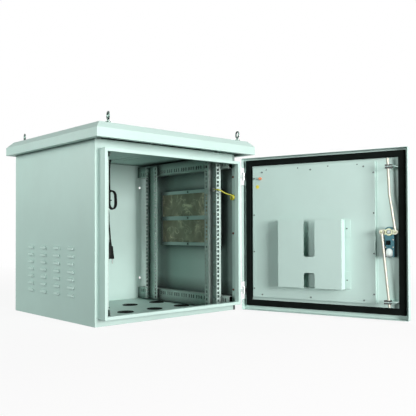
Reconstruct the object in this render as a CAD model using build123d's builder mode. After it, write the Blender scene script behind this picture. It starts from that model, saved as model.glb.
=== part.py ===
from build123d import *
import math
import os

os.makedirs("parts", exist_ok=True)

# Roadside utility cabinet with a 19-inch rack inside, its door standing open.
# Millimetres. +X is to the right of somebody facing the door opening, +Y runs into
# the cabinet, +Z is up. The origin is the middle of the body's bottom face.

# Nineteen-inch rack
unit = 44.45
unit_base = 12.0
rack_opening = 450.0
upright_flange = 21.0
upright_to_side = 44.0

# Body, wide enough for the rack
body_width = rack_opening + 2 * (upright_flange + upright_to_side)
body_depth = 550.0
body_height = 565.0
sheet = 1.5
front_return = 10.0
rear_return = 15.0

# Raised door frame around the opening
frame_projection = 40.0
frame_face = 10.0
frame_lip = 18.0
frame_bottom = 23.0
frame_top = body_height - 30.0
frame_screw_r = 4.0
frame_screw_head = 3.0

# Roof hood
hood_side_overhang = 35.0
hood_front_overhang = 70.0
hood_rear_overhang = 3.0
hood_drop = 5.0
hood_fascia = 28.0
hood_slope = 20.0
hood_inset = 19.0
hood_lip = 18.0
spacer_r = 10.0
spacer_margin = 45.0

# Lifting eyes
eye_ring_r = 11.0
eye_wire_r = 2.9
eye_stem_height = 22.0
eye_stem_r = 4.0
eye_collar_r = 9.0
eye_collar = 4.0
eye_side_margin = 38.0
eye_front_margin = 13.0
eye_rear_margin = 9.0
eye_turn = 72.0
eye_nut_r = 7.5
eye_nut = 6.5

# Louvres
louvre_length = 37.0
louvre_height = 11.0
louvre_rise = 6.0
louvre_skin = 1.2
louvre_pitch_y = 92.7
louvre_pitch_z = 24.6
louvre_columns = 4
louvre_rows = 7
left_louvre_y = 7.5
left_louvre_z = 159.0
right_louvre_y = -33.0
right_louvre_z = body_height - 227.5

# Wall fixing holes in the rear panel
wall_hole_r = 5.0
wall_hole_x = body_width / 2 - 35.0
wall_hole_low = 88.0
wall_hole_high = body_height - 94.0

# Floor cable entries
entry_r = 25.0
entry_flange_r = 29.0
entry_flange = 2.0
entry_groove = 1.2
entry_columns = 4
entry_pitch_x = (body_width - 76.0) / entry_columns
entry_pitch_y = (body_depth - 76.0) / 3
entry_centre_x = 24.0
entry_centre_y = 18.0

# Rack uprights and their rails
unit_count = int((body_height - unit_base - 8.0) // unit)
rack_pitch_x = rack_opening + 15.1
upright_thick = 2.0
upright_web = 50.0
upright_return = 16.0
upright_tail = 21.0
upright_front_y = 27.0 - body_depth / 2
upright_bottom_gap = 3.0
upright_top_gap = 4.0
square_hole = 9.5
hole_low = 6.35
hole_step = 15.875
web_slot_length = 14.0
web_slot_height = 6.0
web_slot_back = 34.0
web_slot_up = 25.2
rail_slot_pitch = 12.7
rail_groups = int((body_depth - 190.0) // unit)
rail_slot_width = 5.6
rail_slot_height = 13.0
rail_face = 44.0
rail_slot_edge = 13.0
rail_nose = 15.0
bolt_r = 2.5
bolt_head_r = 4.6
bolt_head = 3.5
bolt_nut_r = 4.6
bolt_nut = 4.0

# Air filters behind the louvres
filter_width = 350.0
filter_window_height = 87.0
filter_border = 13.0
filter_bar = 16.0
filter_depth = 20.0
filter_skin = 1.2
mat_thick = 8.0
filter_screw_r = 3.4
filter_screw_head = 2.2

# Roof fans above the ceiling
fan_size = 120.0
fan_depth = 25.0
fan_bore_r = 56.0
fan_corner = 6.0
fan_x = 110.0
fan_y = 105.0 - body_depth / 2
fan_boss_r = 18.0
fan_boss = 4.0
fan_strut = 5.0
fan_shaft_r = 2.0
rotor_hub_r = 20.0
rotor_tip_gap = 2.0
rotor_height = 18.0
rotor_blades = 7
blade_thick = 1.6
shaft_clearance = 0.05
guard_ring = 2.5
guard_pitch = 11.0
guard_thick = 2.0

# Small openings in the ceiling
vent_hole_r = 2.2
vent_hole_pitch = 6.5
vent_hole_count = 6
vent_row_y = body_depth / 2 - 235.0
vent_row_x = (-4.0, 186.0)
ceiling_slot_width = 3.0
ceiling_slot_length = 130.0
ceiling_slot_y = body_depth / 2 - 191.0
ceiling_slot_x = (48.0, 86.0)

# Mains lead for the fans, hanging from the ceiling
lead_r = 3.2
lead_x = 34.0
lead_y = body_depth / 2 - 115.0
gland_r = 8.0
gland_height = 6.5
gland_stem_r = 5.5
gland_stem = 10.0
hank_width = 47.0
hank_height = 76.0
hank_depth = 18.0
hank_corner = 14.0
hank_side = 15.5
hank_turn = 15.0
hank_bottom_z = body_height - 194.0
tail_steps = [(0.0, 0.0, -0.5), (-2.5, 2.0, -47.0), (2.0, -1.5, -94.0), (4.0, 0.0, -141.5)]
plug_width = 26.0
plug_depth = 20.0
plug_height = 50.0
plug_neck_width = 16.0
pin_r = 2.4
pin_length = 19.0
pin_pitch = 19.0
plug_corner = 4.0

# Earth lead from the right front upright to the door frame
earth_r = 2.0
earth_slot_index = unit_count - 3
terminal_r = 6.0
terminal_thick = 1.2
terminal_crimp_r = 3.0
terminal_reach = 17.0
earth_turn = 225.0
earth_steps = [(-22.5, 9.5, 0.0), (-26.2, -3.5, -1.2), (-20.0, -16.0, -4.2)]
earth_steps += [(-7.5, -23.0, -10.2), (2.0, -31.0, -20.2), (9.0, -36.5, -27.7)]
earth_coil_r = 10.2
earth_coil_length = 11.0
earth_coil_from_flange = 37.5
earth_coil_drop = 30.2
earth_nut_r = 6.0
earth_nut = 2.5

# Door, given as it lies when shut
door_width = body_width + 8.0
door_bottom = 6.0
door_top = body_height - 20.0
door_depth = 23.0
door_open_angle = 105.7
gasket_seat = 14.5
gasket_gap = 0.3
gasket_width = 20.5
gasket_margin = 2.0

# Hinges
hinge_pin_x = body_width / 2 + 2.6
hinge_pin_from_face = 10.3
hinge_pin_r = 2.5
hinge_knuckle_r = 5.0
hinge_running_gap = 0.05
hinge_knuckle_half = 6.0
hinge_knuckle_gap = 0.3
hinge_outer_knuckle = 7.0
hinge_notch_half = 31.0
hinge_notch_floor = 3.5
hinge_low_z = door_bottom + 67.5
hinge_high_z = door_top - 63.5
hinge_leaf = 2.0
hinge_leaf_length = 24.0
hinge_arm = 3.0
hinge_foot_width = 8.5

# Inner panel of the door
liner_left = 41.0
liner_right = door_width - 106.0
liner_bottom = door_bottom + 47.0
liner_top = door_top - 37.0
liner_height = 12.0
liner_skin = 1.2
liner_lip = 6.0
liner_rivets = (0.122, 0.395, 0.642, 0.869)
rivet_r = 2.0
rivet_head = 1.0
screw_r = 3.0
screw_head = 1.8

# Document pocket
pocket_left = liner_left + 113.0
pocket_right = liner_right - 101.0
pocket_bottom = liner_bottom + 42.0
pocket_top = liner_top - 185.5
pocket_depth = 30.0
pocket_skin = 1.2
pocket_slot_width = 39.5
pocket_slot_corner = 7.0
pocket_upper_slot_floor = pocket_bottom + 0.457 * (pocket_top - pocket_bottom)
pocket_lower_slot_top = pocket_bottom + 0.222 * (pocket_top - pocket_bottom)
pocket_tab = 20.0
pocket_tab_height = 0.25 * (pocket_top - pocket_bottom)

# Earth stud on the door
door_stud_s = liner_left + 31.0
door_stud_z = liner_top - 38.0
door_stud_r = 3.0
door_stud_nut_r = 5.5
door_stud_nut = 5.0
door_stud_length = 12.0

# Lock and swing handle
lock_s = door_width - 57.0
lock_z = (door_bottom + door_top) / 2 + 5.5
lock_width = 31.0
lock_above = 16.0
lock_below = 78.0
lock_height = 27.8
lock_window_width = 15.0
lock_window_height = 14.0
lock_window_below = 33.5
lock_window_left = 3.5
lock_window_depth = 12.0
spindle_r = 6.0
spindle_square = 8.0
spindle_clearance = 0.06
cam_gap = 0.5
cam_thick = 3.0
cam_arm = 21.5
cam_hub_r = 12.0
cam_end_r = 7.5
cam_pin_r = 3.0
cam_screw_r = 7.0
cam_screw_head = 4.5
rod_r = 4.0
rod_eye_r = 7.5
rod_eye_step = 0.6
rod_lift = 0.7
rod_bore_clearance = 0.05
rod_end_gap = 1.6
rod_crank = 0.57
rod_crank_lean = 0.042
upper_guide_z = frame_top - 50.5
lower_guide_z = frame_bottom + 40.5
guide_right = 24.0
guide_skin = 2.0
guide_foot = 12.0
guide_side_gap = 1.0
guide_mid_travel = 6.0
bush_wall = 2.4
bush_height = 12.0
escutcheon_width = 36.0
escutcheon_length = 150.0
escutcheon_thick = 9.0
escutcheon_above = 18.0
cylinder_r = 9.0
cylinder_below = 62.0
cylinder_cam = 4.0
handle_hub_r = 15.0
handle_hub_height = 14.7
handle_gap = 0.3
lever_width = 24.0
lever_tongue = 14.0
lever_thick = 12.0
lever_length = 125.0
lever_shoulder = 16.0
lever_slot_gap = 0.4
lever_pin_r = 2.5
lever_pin_offset = 4.0

# Worked-out places on the body
half_width = body_width / 2
front_y = -body_depth / 2
rear_y = body_depth / 2
inner_x = half_width - sheet
inner_rear_y = rear_y - 2 * sheet
ceiling_z = body_height - sheet
frame_outer_x = half_width - front_return
frame_inner_x = frame_outer_x - frame_face
frame_front_y = front_y - frame_projection
opening_bottom = frame_bottom + frame_face
opening_top = frame_top - frame_face
hood_bottom = body_height - hood_drop
hood_brow = hood_bottom + hood_fascia
hood_top = hood_brow + hood_slope
hood_half = half_width + hood_side_overhang
hood_front_y = front_y - hood_front_overhang
hood_rear_y = rear_y + hood_rear_overhang
rack_x = rack_pitch_x / 2
web_x = rack_opening / 2 + upright_flange
upright_low = unit_base - upright_bottom_gap
upright_high = unit_base + unit_count * unit + upright_top_gap
bolt_y = upright_front_y + web_slot_back
rear_bolt_y = bolt_y + rail_groups * unit + rail_slot_pitch
rear_upright_y = rear_bolt_y + web_slot_back
low_slot_z = unit_base + web_slot_up
high_slot_z = low_slot_z + (unit_count - 1) * unit
filter_height = 2 * filter_window_height + filter_bar + 2 * filter_border


def save(builder, name):
    """Labels a finished piece and writes its STEP file."""
    builder.part.label = name
    export_step(builder.part, f"parts/{name}.step")


def block(x_range, y_range, z_range, mode=Mode.ADD):
    """Adds or cuts a box between two x, two y and two z values."""
    middle = [(low + high) / 2 for low, high in (x_range, y_range, z_range)]
    spans = [abs(high - low) for low, high in (x_range, y_range, z_range)]
    with Locations(tuple(middle)):
        Box(*spans, mode=mode)


def front_plane(y):
    """A plane facing the front, with local x along +X and local y along +Z."""
    return Plane(origin=(0, y, 0), x_dir=(1, 0, 0), z_dir=(0, -1, 0))


def side_plane(x):
    """A plane facing +X, with local x along +Y and local y along +Z."""
    return Plane(origin=(x, 0, 0), x_dir=(0, 1, 0), z_dir=(1, 0, 0))


def mirrored(side, low, high):
    """An x range on the right side, or the same range mirrored to the left."""
    return (side * low, side * high)


# Louvre, pressed outwards and open at the bottom, made once about its own middle
with BuildPart() as louvre_hood:
    with BuildSketch(Plane(origin=(0, 0, 0), x_dir=(1, 0, 0), z_dir=(0, -1, 0))):
        with BuildLine():
            Polyline((0, louvre_height), (0, 0), (louvre_rise, 0))
            ThreePointArc(
                (louvre_rise, 0),
                (louvre_rise * 0.78, louvre_height * 0.6),
                (0, louvre_height),
            )
        make_face()
    extrude(amount=louvre_length / 2, both=True)
    ends = louvre_hood.edges().filter_by(GeomType.BSPLINE, reverse=True)
    fillet(ends.filter_by(Axis.Z, reverse=True).filter_by(GeomType.CIRCLE), louvre_rise * 0.6)

with BuildPart() as louvre_air:
    with BuildSketch(Plane(origin=(0, 0, 0), x_dir=(1, 0, 0), z_dir=(0, -1, 0))):
        with BuildLine():
            inner_rise = louvre_rise - louvre_skin
            inner_height = louvre_height - 2 * louvre_skin
            Polyline((0, inner_height), (-sheet, inner_height), (-sheet, 0), (inner_rise, 0))
            ThreePointArc(
                (inner_rise, 0),
                (inner_rise * 0.75, inner_height * 0.62),
                (0, inner_height),
            )
        make_face()
    extrude(amount=louvre_length / 2 - 2.5 * louvre_skin, both=True)

# Side panels: one folded sheet each, with front and rear returns and two columns of louvres
for side, name, louvre_y, louvre_z in (
    (-1, "left", left_louvre_y, left_louvre_z),
    (1, "right", right_louvre_y, right_louvre_z),
):
    first_y = louvre_y - (louvre_columns - 1) * louvre_pitch_y / 2
    first_z = louvre_z - (louvre_rows - 1) * louvre_pitch_z / 2 - louvre_height / 2
    turn = 0 if side > 0 else 180
    louvre_places = [
        Location((side * half_width, first_y + i * louvre_pitch_y, first_z + j * louvre_pitch_z), (0, 0, turn))
        for i in range(louvre_columns)
        for j in range(louvre_rows)
    ]
    with BuildPart() as side_panel:
        block(mirrored(side, inner_x, half_width), (front_y, rear_y), (0, body_height))
        block(mirrored(side, frame_outer_x, half_width), (front_y, front_y + sheet), (0, body_height))
        block(mirrored(side, half_width - rear_return, half_width), (rear_y - sheet, rear_y), (0, body_height))
        with Locations(*louvre_places):
            add(louvre_hood.part)
            add(louvre_air.part, mode=Mode.SUBTRACT)
    save(side_panel, f"side_panel_{name}")

# Rear panel, behind the returns' inner faces, with four wall fixing holes
wall_holes = [(x, z) for x in (-wall_hole_x, wall_hole_x) for z in (wall_hole_low, wall_hole_high)]
with BuildPart() as rear_panel:
    block((-inner_x, inner_x), (inner_rear_y, rear_y - sheet), (0, body_height))
    with BuildSketch(front_plane(inner_rear_y)):
        with Locations(*wall_holes):
            Circle(wall_hole_r)
    extrude(amount=-sheet, mode=Mode.SUBTRACT)
save(rear_panel, "rear_panel")

# Floor panel with the cable entry holes
entry_places = [
    (
        entry_centre_x + (i - (entry_columns - 1) / 2) * entry_pitch_x,
        entry_centre_y + (j - 0.5) * entry_pitch_y,
    )
    for i in range(entry_columns)
    for j in range(2)
]
with BuildPart() as floor_panel:
    block((-inner_x, inner_x), (front_y + sheet, inner_rear_y), (0, sheet))
    with BuildSketch(Plane.XY):
        with Locations(*entry_places):
            Circle(entry_r)
    extrude(amount=sheet, mode=Mode.SUBTRACT)
save(floor_panel, "floor_panel")

# Rubber grommets that close the cable entries, one closed membrane each
with BuildPart() as cable_grommets:
    with BuildSketch(Plane.XY.offset(sheet)):
        with Locations(*entry_places):
            Circle(entry_flange_r)
    extrude(amount=entry_flange)
    with BuildSketch(Plane.XY.offset(entry_groove - sheet + 0.4)):
        with Locations(*entry_places):
            Circle(entry_r - 0.05)
    extrude(until=Until.NEXT)
save(cable_grommets, "cable_grommets")

# Ceiling panel with fan openings, vent holes, two slots and the gland hole
with BuildPart() as ceiling_panel:
    block((-inner_x, inner_x), (front_y + sheet, inner_rear_y), (ceiling_z, body_height))
    with BuildSketch(Plane.XY.offset(ceiling_z)):
        with Locations((-fan_x, fan_y), (fan_x, fan_y)):
            Circle(fan_bore_r)
        for row_x in vent_row_x:
            with Locations((row_x, vent_row_y)):
                with GridLocations(vent_hole_pitch, 0.0, vent_hole_count, 1):
                    Circle(vent_hole_r)
        with Locations(*[(x, ceiling_slot_y) for x in ceiling_slot_x]):
            SlotOverall(ceiling_slot_length, ceiling_slot_width, rotation=90)
        with Locations((lead_x, lead_y)):
            Circle(gland_stem_r)
    extrude(amount=sheet, mode=Mode.SUBTRACT)
save(ceiling_panel, "ceiling_panel")

# Front frame: front plate and the raised ring that the door closes on
with BuildPart() as front_frame:
    with BuildSketch(front_plane(front_y + sheet)):
        with Locations((0, body_height / 2)):
            Rectangle(2 * frame_outer_x, body_height)
        with Locations((0, (frame_bottom + frame_top) / 2)):
            Rectangle(
                2 * (frame_outer_x - sheet),
                frame_top - frame_bottom - 2 * sheet,
                mode=Mode.SUBTRACT,
            )
    extrude(amount=sheet)
    with BuildSketch(front_plane(front_y + sheet)):
        with Locations((0, (frame_bottom + frame_top) / 2)):
            Rectangle(2 * frame_outer_x, frame_top - frame_bottom)
            Rectangle(
                2 * (frame_outer_x - sheet),
                frame_top - frame_bottom - 2 * sheet,
                mode=Mode.SUBTRACT,
            )
    extrude(amount=frame_projection + sheet)
    with BuildSketch(front_plane(frame_front_y + sheet)):
        with Locations((0, (frame_bottom + frame_top) / 2)):
            Rectangle(2 * frame_outer_x, frame_top - frame_bottom)
            Rectangle(2 * frame_inner_x, opening_top - opening_bottom, mode=Mode.SUBTRACT)
    extrude(amount=sheet)
    with BuildSketch(front_plane(frame_front_y + frame_lip)):
        with Locations((0, (frame_bottom + frame_top) / 2)):
            Rectangle(
                2 * (frame_inner_x + sheet),
                opening_top - opening_bottom + 2 * sheet,
            )
            Rectangle(2 * frame_inner_x, opening_top - opening_bottom, mode=Mode.SUBTRACT)
    extrude(amount=frame_lip)
    corners = front_frame.edges().filter_by(Axis.Y)
    outer_corners = corners.filter_by(
        lambda edge: abs(abs(edge.center().X) - frame_outer_x) < 0.01
        and frame_bottom - 1 < edge.center().Z < frame_top + 1
        and edge.center().Y < front_y
    )
    fillet(outer_corners, 1.2 * sheet)
save(front_frame, "front_frame")

# Screws that hold the raised ring, on its inner face
screw_zs = [hinge_low_z, (hinge_low_z + hinge_high_z) / 2, hinge_high_z]
with BuildPart() as frame_screws:
    for side in (-1, 1):
        with BuildSketch(side_plane(side * (frame_outer_x - sheet))):
            with Locations(*[(front_y - frame_screw_r - 0.5, z) for z in screw_zs]):
                Circle(frame_screw_r)
        extrude(amount=-side * frame_screw_head)
save(frame_screws, "frame_screws")

# Roof hood: top, slope, fascia and a lip folded inwards at the bottom
hood_middle_y = (hood_front_y + hood_rear_y) / 2
hood_depth = hood_rear_y - hood_front_y


def hood_outline(shrink):
    """Draws the hood's plan outline, smaller by a distance on every side."""
    with Locations((0, hood_middle_y)):
        Rectangle(2 * (hood_half - shrink), hood_depth - 2 * shrink)


eye_places = [
    (x, y)
    for x in (-hood_half + hood_inset + eye_side_margin, hood_half - hood_inset - eye_side_margin)
    for y in (hood_front_y + hood_inset + eye_front_margin, hood_rear_y - hood_inset - eye_rear_margin)
]
with BuildPart() as roof_hood:
    with BuildSketch(Plane.XY.offset(hood_bottom)):
        hood_outline(0)
    extrude(amount=hood_fascia)
    with BuildSketch(Plane.XY.offset(hood_brow)):
        hood_outline(0)
    with BuildSketch(Plane.XY.offset(hood_top)):
        hood_outline(hood_inset)
    loft()
    with BuildSketch(Plane.XY.offset(hood_bottom + sheet)):
        hood_outline(sheet)
    extrude(amount=hood_fascia - sheet, mode=Mode.SUBTRACT)
    with BuildSketch(Plane.XY.offset(hood_brow)):
        hood_outline(sheet)
    with BuildSketch(Plane.XY.offset(hood_top - sheet)):
        hood_outline(hood_inset)
    loft(mode=Mode.SUBTRACT)
    block(
        (hood_lip - hood_half, hood_half - hood_lip),
        (hood_front_y + hood_lip, rear_y + 0.3),
        (hood_bottom, hood_bottom + sheet),
        mode=Mode.SUBTRACT,
    )
    with BuildSketch(Plane.XY.offset(hood_top - sheet)):
        with Locations(*eye_places):
            Circle(eye_stem_r)
    extrude(amount=sheet, mode=Mode.SUBTRACT)
save(roof_hood, "roof_hood")

# Spacers that carry the hood on the ceiling panel
spacer_places = [
    (x, y)
    for x in (-half_width + spacer_margin, half_width - spacer_margin)
    for y in (front_y + spacer_margin, rear_y - spacer_margin)
]
with BuildPart() as roof_spacers:
    with BuildSketch(Plane.XY.offset(body_height)):
        with Locations(*spacer_places):
            Circle(spacer_r)
    extrude(amount=hood_top - sheet - body_height)
save(roof_spacers, "roof_spacers")

# Lifting eyes, each with a collar on the hood and a nut below it
ring_z = hood_top + eye_stem_height
with BuildPart() as lifting_eyes:
    for x, y in eye_places:
        with BuildSketch(Plane.XY.offset(hood_top)):
            with Locations((x, y)):
                Circle(eye_collar_r)
        extrude(amount=eye_collar)
        with BuildSketch(Plane.XY.offset(hood_top - sheet - eye_nut - 2)):
            with Locations((x, y)):
                Circle(eye_stem_r)
        extrude(amount=eye_stem_height - eye_ring_r + sheet + eye_nut + 2)
        along = (math.cos(math.radians(eye_turn)), math.sin(math.radians(eye_turn)), 0)
        ring_plane = Plane(origin=(x, y, ring_z), x_dir=along, z_dir=(along[1], -along[0], 0))
        with Locations(ring_plane.location):
            Torus(eye_ring_r, eye_wire_r)
save(lifting_eyes, "lifting_eyes")

with BuildPart() as lifting_eye_nuts:
    with BuildSketch(Plane.XY.offset(hood_top - sheet - eye_nut)):
        with Locations(*eye_places):
            RegularPolygon(eye_nut_r, 6)
            Circle(eye_stem_r, mode=Mode.SUBTRACT)
    extrude(amount=eye_nut)
save(lifting_eye_nuts, "lifting_eye_nuts")

# Rack uprights: one rolled section, mirrored to the left and turned round at the rear
uprights = {
    "rack_upright_front_left": (-1, 1, upright_front_y),
    "rack_upright_front_right": (1, 1, upright_front_y),
    "rack_upright_rear_left": (-1, -1, rear_upright_y),
    "rack_upright_rear_right": (1, -1, rear_upright_y),
}
square_rows = [
    unit_base + u * unit + hole_low + k * hole_step for u in range(unit_count) for k in range(3)
]
slot_rows = [low_slot_z + u * unit for u in range(unit_count)]
span = (upright_low, upright_high)
return_x = web_x - upright_return
for name, (side, way, y) in uprights.items():
    flange = (y, y + way * upright_thick)
    web_end = y + way * upright_web
    web_back = (web_end - way * upright_thick, web_end)
    tail_end = web_end + way * upright_tail
    tail_y = (web_end + tail_end) / 2
    with BuildPart() as upright:
        block(mirrored(side, web_x - upright_flange, web_x), flange, span)
        block(mirrored(side, web_x - upright_thick, web_x), (y, web_end), span)
        block(mirrored(side, return_x, web_x), web_back, span)
        block(mirrored(side, return_x, return_x + upright_thick), (web_back[0], tail_end), span)
        with BuildSketch(front_plane(max(flange))):
            with Locations(*[(side * rack_x, z) for z in square_rows]):
                Rectangle(square_hole, square_hole)
        extrude(amount=upright_thick, mode=Mode.SUBTRACT)
        with BuildSketch(side_plane(side * return_x)):
            with Locations(*[(tail_y, z) for z in square_rows]):
                Rectangle(square_hole, square_hole)
        extrude(amount=side * upright_thick, mode=Mode.SUBTRACT)
        with BuildSketch(side_plane(side * (web_x - upright_thick))):
            with Locations(*[(y + way * web_slot_back, z) for z in slot_rows]):
                SlotOverall(web_slot_length, web_slot_height)
        extrude(amount=side * upright_thick, mode=Mode.SUBTRACT)
    save(upright, name)

# Depth rails that carry the uprights, slotted along their length
groups_behind = int((inner_rear_y - bolt_y - 2 * rail_slot_pitch) // unit)
groups_before = int((bolt_y - front_y + rail_nose - 2 * rail_slot_pitch) // unit)
slot_ys = [
    bolt_y + group * unit + step * rail_slot_pitch
    for group in range(-groups_before, groups_behind + 1)
    for step in (-1, 0, 1)
]
rail_face_x = (web_x, web_x + upright_thick)
rail_rear_y = inner_rear_y - 0.3
rail_low_notch = frame_bottom + sheet + 0.5
rail_high_notch = frame_top - sheet - 0.5
for level, slot_z, down in (("lower", low_slot_z, 1), ("upper", high_slot_z, -1)):
    edge_z = slot_z + down * rail_slot_edge
    far_z = edge_z - down * rail_face
    nose_z = rail_low_notch if down > 0 else rail_high_notch
    with BuildPart() as rails:
        for side in (-1, 1):
            block(mirrored(side, *rail_face_x), (front_y + sheet, rail_rear_y), (edge_z, far_z))
            block(mirrored(side, *rail_face_x), (front_y - rail_nose, front_y + sheet), (edge_z, nose_z))
            block(
                mirrored(side, web_x, inner_x - 0.3),
                (front_y + sheet, rail_rear_y),
                (edge_z, edge_z - down * upright_thick),
            )
            with BuildSketch(side_plane(side * web_x)):
                with Locations(*[(slot_y, slot_z) for slot_y in slot_ys]):
                    Rectangle(rail_slot_width, rail_slot_height)
            extrude(amount=side * upright_thick, mode=Mode.SUBTRACT)
    save(rails, f"depth_rails_{level}")

# Bolts and nuts that hold the uprights on the rails
bolt_places = [
    (side, y, z)
    for side in (-1, 1)
    for y in (bolt_y, rear_bolt_y)
    for z in (low_slot_z, high_slot_z)
]
with BuildPart() as upright_bolts:
    for side, y, z in bolt_places:
        with BuildSketch(side_plane(side * (web_x - upright_thick))):
            with Locations((y, z)):
                Circle(bolt_head_r)
        extrude(amount=-side * bolt_head)
        with BuildSketch(side_plane(side * (web_x - upright_thick))):
            with Locations((y, z)):
                Circle(bolt_r)
        extrude(amount=side * (2 * upright_thick + bolt_nut + 1.5))
save(upright_bolts, "upright_bolts")

with BuildPart() as upright_nuts:
    for side, y, z in bolt_places:
        with BuildSketch(side_plane(side * (web_x + upright_thick))):
            with Locations((y, z)):
                RegularPolygon(bolt_nut_r, 6)
                Circle(bolt_r, mode=Mode.SUBTRACT)
        extrude(amount=side * bolt_nut)
save(upright_nuts, "upright_nuts")

# Filter frames: a shallow tray with two windows over each set of louvres
filters = ((-1, left_louvre_y, left_louvre_z), (1, right_louvre_y, right_louvre_z))
window_offset = (filter_window_height + filter_bar) / 2
mat_cells = []
filter_screw_places = []
face_x = inner_x - filter_depth
with BuildPart() as filter_frames:
    for side, y, z in filters:
        block(
            mirrored(side, face_x, inner_x),
            (y - filter_width / 2, y + filter_width / 2),
            (z - filter_height / 2, z + filter_height / 2),
        )
        block(
            mirrored(side, face_x + filter_skin, inner_x),
            (y - filter_width / 2 + filter_skin, y + filter_width / 2 - filter_skin),
            (z - filter_height / 2 + filter_skin, z + filter_height / 2 - filter_skin),
            mode=Mode.SUBTRACT,
        )
        with BuildSketch(side_plane(side * face_x)):
            with Locations((y, z - window_offset), (y, z + window_offset)):
                Rectangle(filter_width - 2 * filter_border, filter_window_height)
        extrude(amount=side * filter_skin, mode=Mode.SUBTRACT)
save(filter_frames, "filter_frames")

for side, y, z in filters:
    for shift in (-window_offset, window_offset):
        mat_cells.append((side, y, z + shift))
    rows = (z - filter_height / 2 + filter_border / 2, z, z + filter_height / 2 - filter_border / 2)
    filter_screw_places += [(side, y, row) for row in rows]
    for end in (-1, 1):
        filter_screw_places.append((side, y + end * (filter_width - filter_border) / 2, z))

# Filter mats, clipped behind the windows
with BuildPart() as filter_mats:
    for side, y, z in mat_cells:
        low_x = inner_x - filter_depth + filter_skin
        block(
            mirrored(side, low_x + 0.3, low_x + mat_thick),
            (y - filter_width / 2 + 2 * filter_skin, y + filter_width / 2 - 2 * filter_skin),
            (z - filter_window_height / 2 - 6, z + filter_window_height / 2 + 6),
        )
save(filter_mats, "filter_mats")

with BuildPart() as filter_screws:
    for side, y, z in filter_screw_places:
        with BuildSketch(side_plane(side * (inner_x - filter_depth))):
            with Locations((y, z)):
                Circle(filter_screw_r)
        extrude(amount=-side * filter_screw_head)
save(filter_screws, "filter_screws")

# Roof fans: housing with its motor boss at the top, rotor on the shaft, guard below
fan_floor = body_height
fan_ceiling = fan_floor + fan_depth
rotor_top = fan_ceiling - fan_boss - 1
for name, x in (("left", -fan_x), ("right", fan_x)):
    with BuildPart() as fan_housing:
        with BuildSketch(Plane.XY.offset(fan_floor)):
            with Locations((x, fan_y)):
                RectangleRounded(fan_size, fan_size, fan_corner)
                Circle(fan_bore_r, mode=Mode.SUBTRACT)
        extrude(amount=fan_depth)
        with BuildSketch(Plane.XY.offset(fan_ceiling - fan_boss)):
            with Locations((x, fan_y)):
                Circle(fan_boss_r)
                Rectangle(2 * fan_bore_r + fan_strut, fan_strut)
                Rectangle(fan_strut, 2 * fan_bore_r + fan_strut)
        extrude(amount=fan_boss)
        with BuildSketch(Plane.XY.offset(rotor_top - rotor_height)):
            with Locations((x, fan_y)):
                Circle(fan_shaft_r)
        extrude(amount=rotor_height + 1 + fan_boss)
    save(fan_housing, f"fan_housing_{name}")

    with BuildPart() as fan_rotor:
        with BuildSketch(Plane.XY.offset(rotor_top - rotor_height)):
            with Locations((x, fan_y)):
                Circle(rotor_hub_r)
        extrude(amount=rotor_height)
        blade_length = fan_bore_r - rotor_tip_gap - rotor_hub_r + 2
        for k in range(rotor_blades):
            angle = 360 / rotor_blades * k
            blade_plane = Plane(
                origin=(x, fan_y, rotor_top - rotor_height / 2),
                x_dir=(math.cos(math.radians(angle)), math.sin(math.radians(angle)), 0),
                z_dir=(0, 0, 1),
            )
            with Locations(blade_plane.location * Location((rotor_hub_r - 2 + blade_length / 2, 0, 0), (38, 0, 0))):
                Box(blade_length, rotor_height * 1.15, blade_thick)
        with BuildSketch(Plane.XY.offset(rotor_top - rotor_height)):
            with Locations((x, fan_y)):
                Circle(fan_bore_r - rotor_tip_gap)
        extrude(amount=rotor_height, mode=Mode.INTERSECT)
        with BuildSketch(Plane.XY.offset(rotor_top - rotor_height)):
            with Locations((x, fan_y)):
                Circle(fan_shaft_r + shaft_clearance)
        extrude(amount=rotor_height, mode=Mode.SUBTRACT)
    save(fan_rotor, f"fan_rotor_{name}")

with BuildPart() as fan_guards:
    ring_count = int((fan_bore_r + guard_ring) // guard_pitch)
    for x in (-fan_x, fan_x):
        with BuildSketch(Plane.XY.offset(ceiling_z - guard_thick)):
            with Locations((x, fan_y)):
                for k in range(ring_count):
                    radius = fan_bore_r + guard_ring - k * guard_pitch
                    Circle(radius)
                    Circle(radius - guard_ring, mode=Mode.SUBTRACT)
                Rectangle(2 * fan_bore_r, guard_ring)
                Rectangle(guard_ring, 2 * fan_bore_r)
        extrude(amount=guard_thick)
save(fan_guards, "fan_guards")

# Mains lead: gland, straight drop, tied hank, tail and plug
gland_bottom = ceiling_z - gland_height
hank_top_z = hank_bottom_z + hank_height
with BuildPart() as lead_gland:
    with BuildSketch(Plane.XY.offset(gland_bottom)):
        with Locations((lead_x, lead_y)):
            Circle(gland_r)
    extrude(amount=gland_height)
    with BuildSketch(Plane.XY.offset(ceiling_z)):
        with Locations((lead_x, lead_y)):
            Circle(gland_stem_r)
    extrude(amount=gland_stem)
save(lead_gland, "lead_gland")

with BuildPart() as mains_lead_drop:
    with BuildSketch(Plane.XY.offset(hank_top_z)):
        with Locations((lead_x, lead_y)):
            Circle(lead_r)
    extrude(amount=gland_bottom - hank_top_z - 0.3)
save(mains_lead_drop, "mains_lead_drop")

hank_across = (math.cos(math.radians(hank_turn)), math.sin(math.radians(hank_turn)), 0)
hank_normal = (hank_across[1], -hank_across[0], 0)
with BuildPart() as mains_lead_hank:
    with BuildSketch(Plane(origin=(lead_x, lead_y, 0), x_dir=hank_across, z_dir=hank_normal)):
        with Locations((hank_side, (hank_top_z + hank_bottom_z) / 2)):
            RectangleRounded(hank_width, hank_height, hank_corner)
    extrude(amount=hank_depth / 2, both=True)
save(mains_lead_hank, "mains_lead_hank")


tail_route = [(lead_x + dx, lead_y + dy, hank_bottom_z + dz) for dx, dy, dz in tail_steps]


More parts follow.
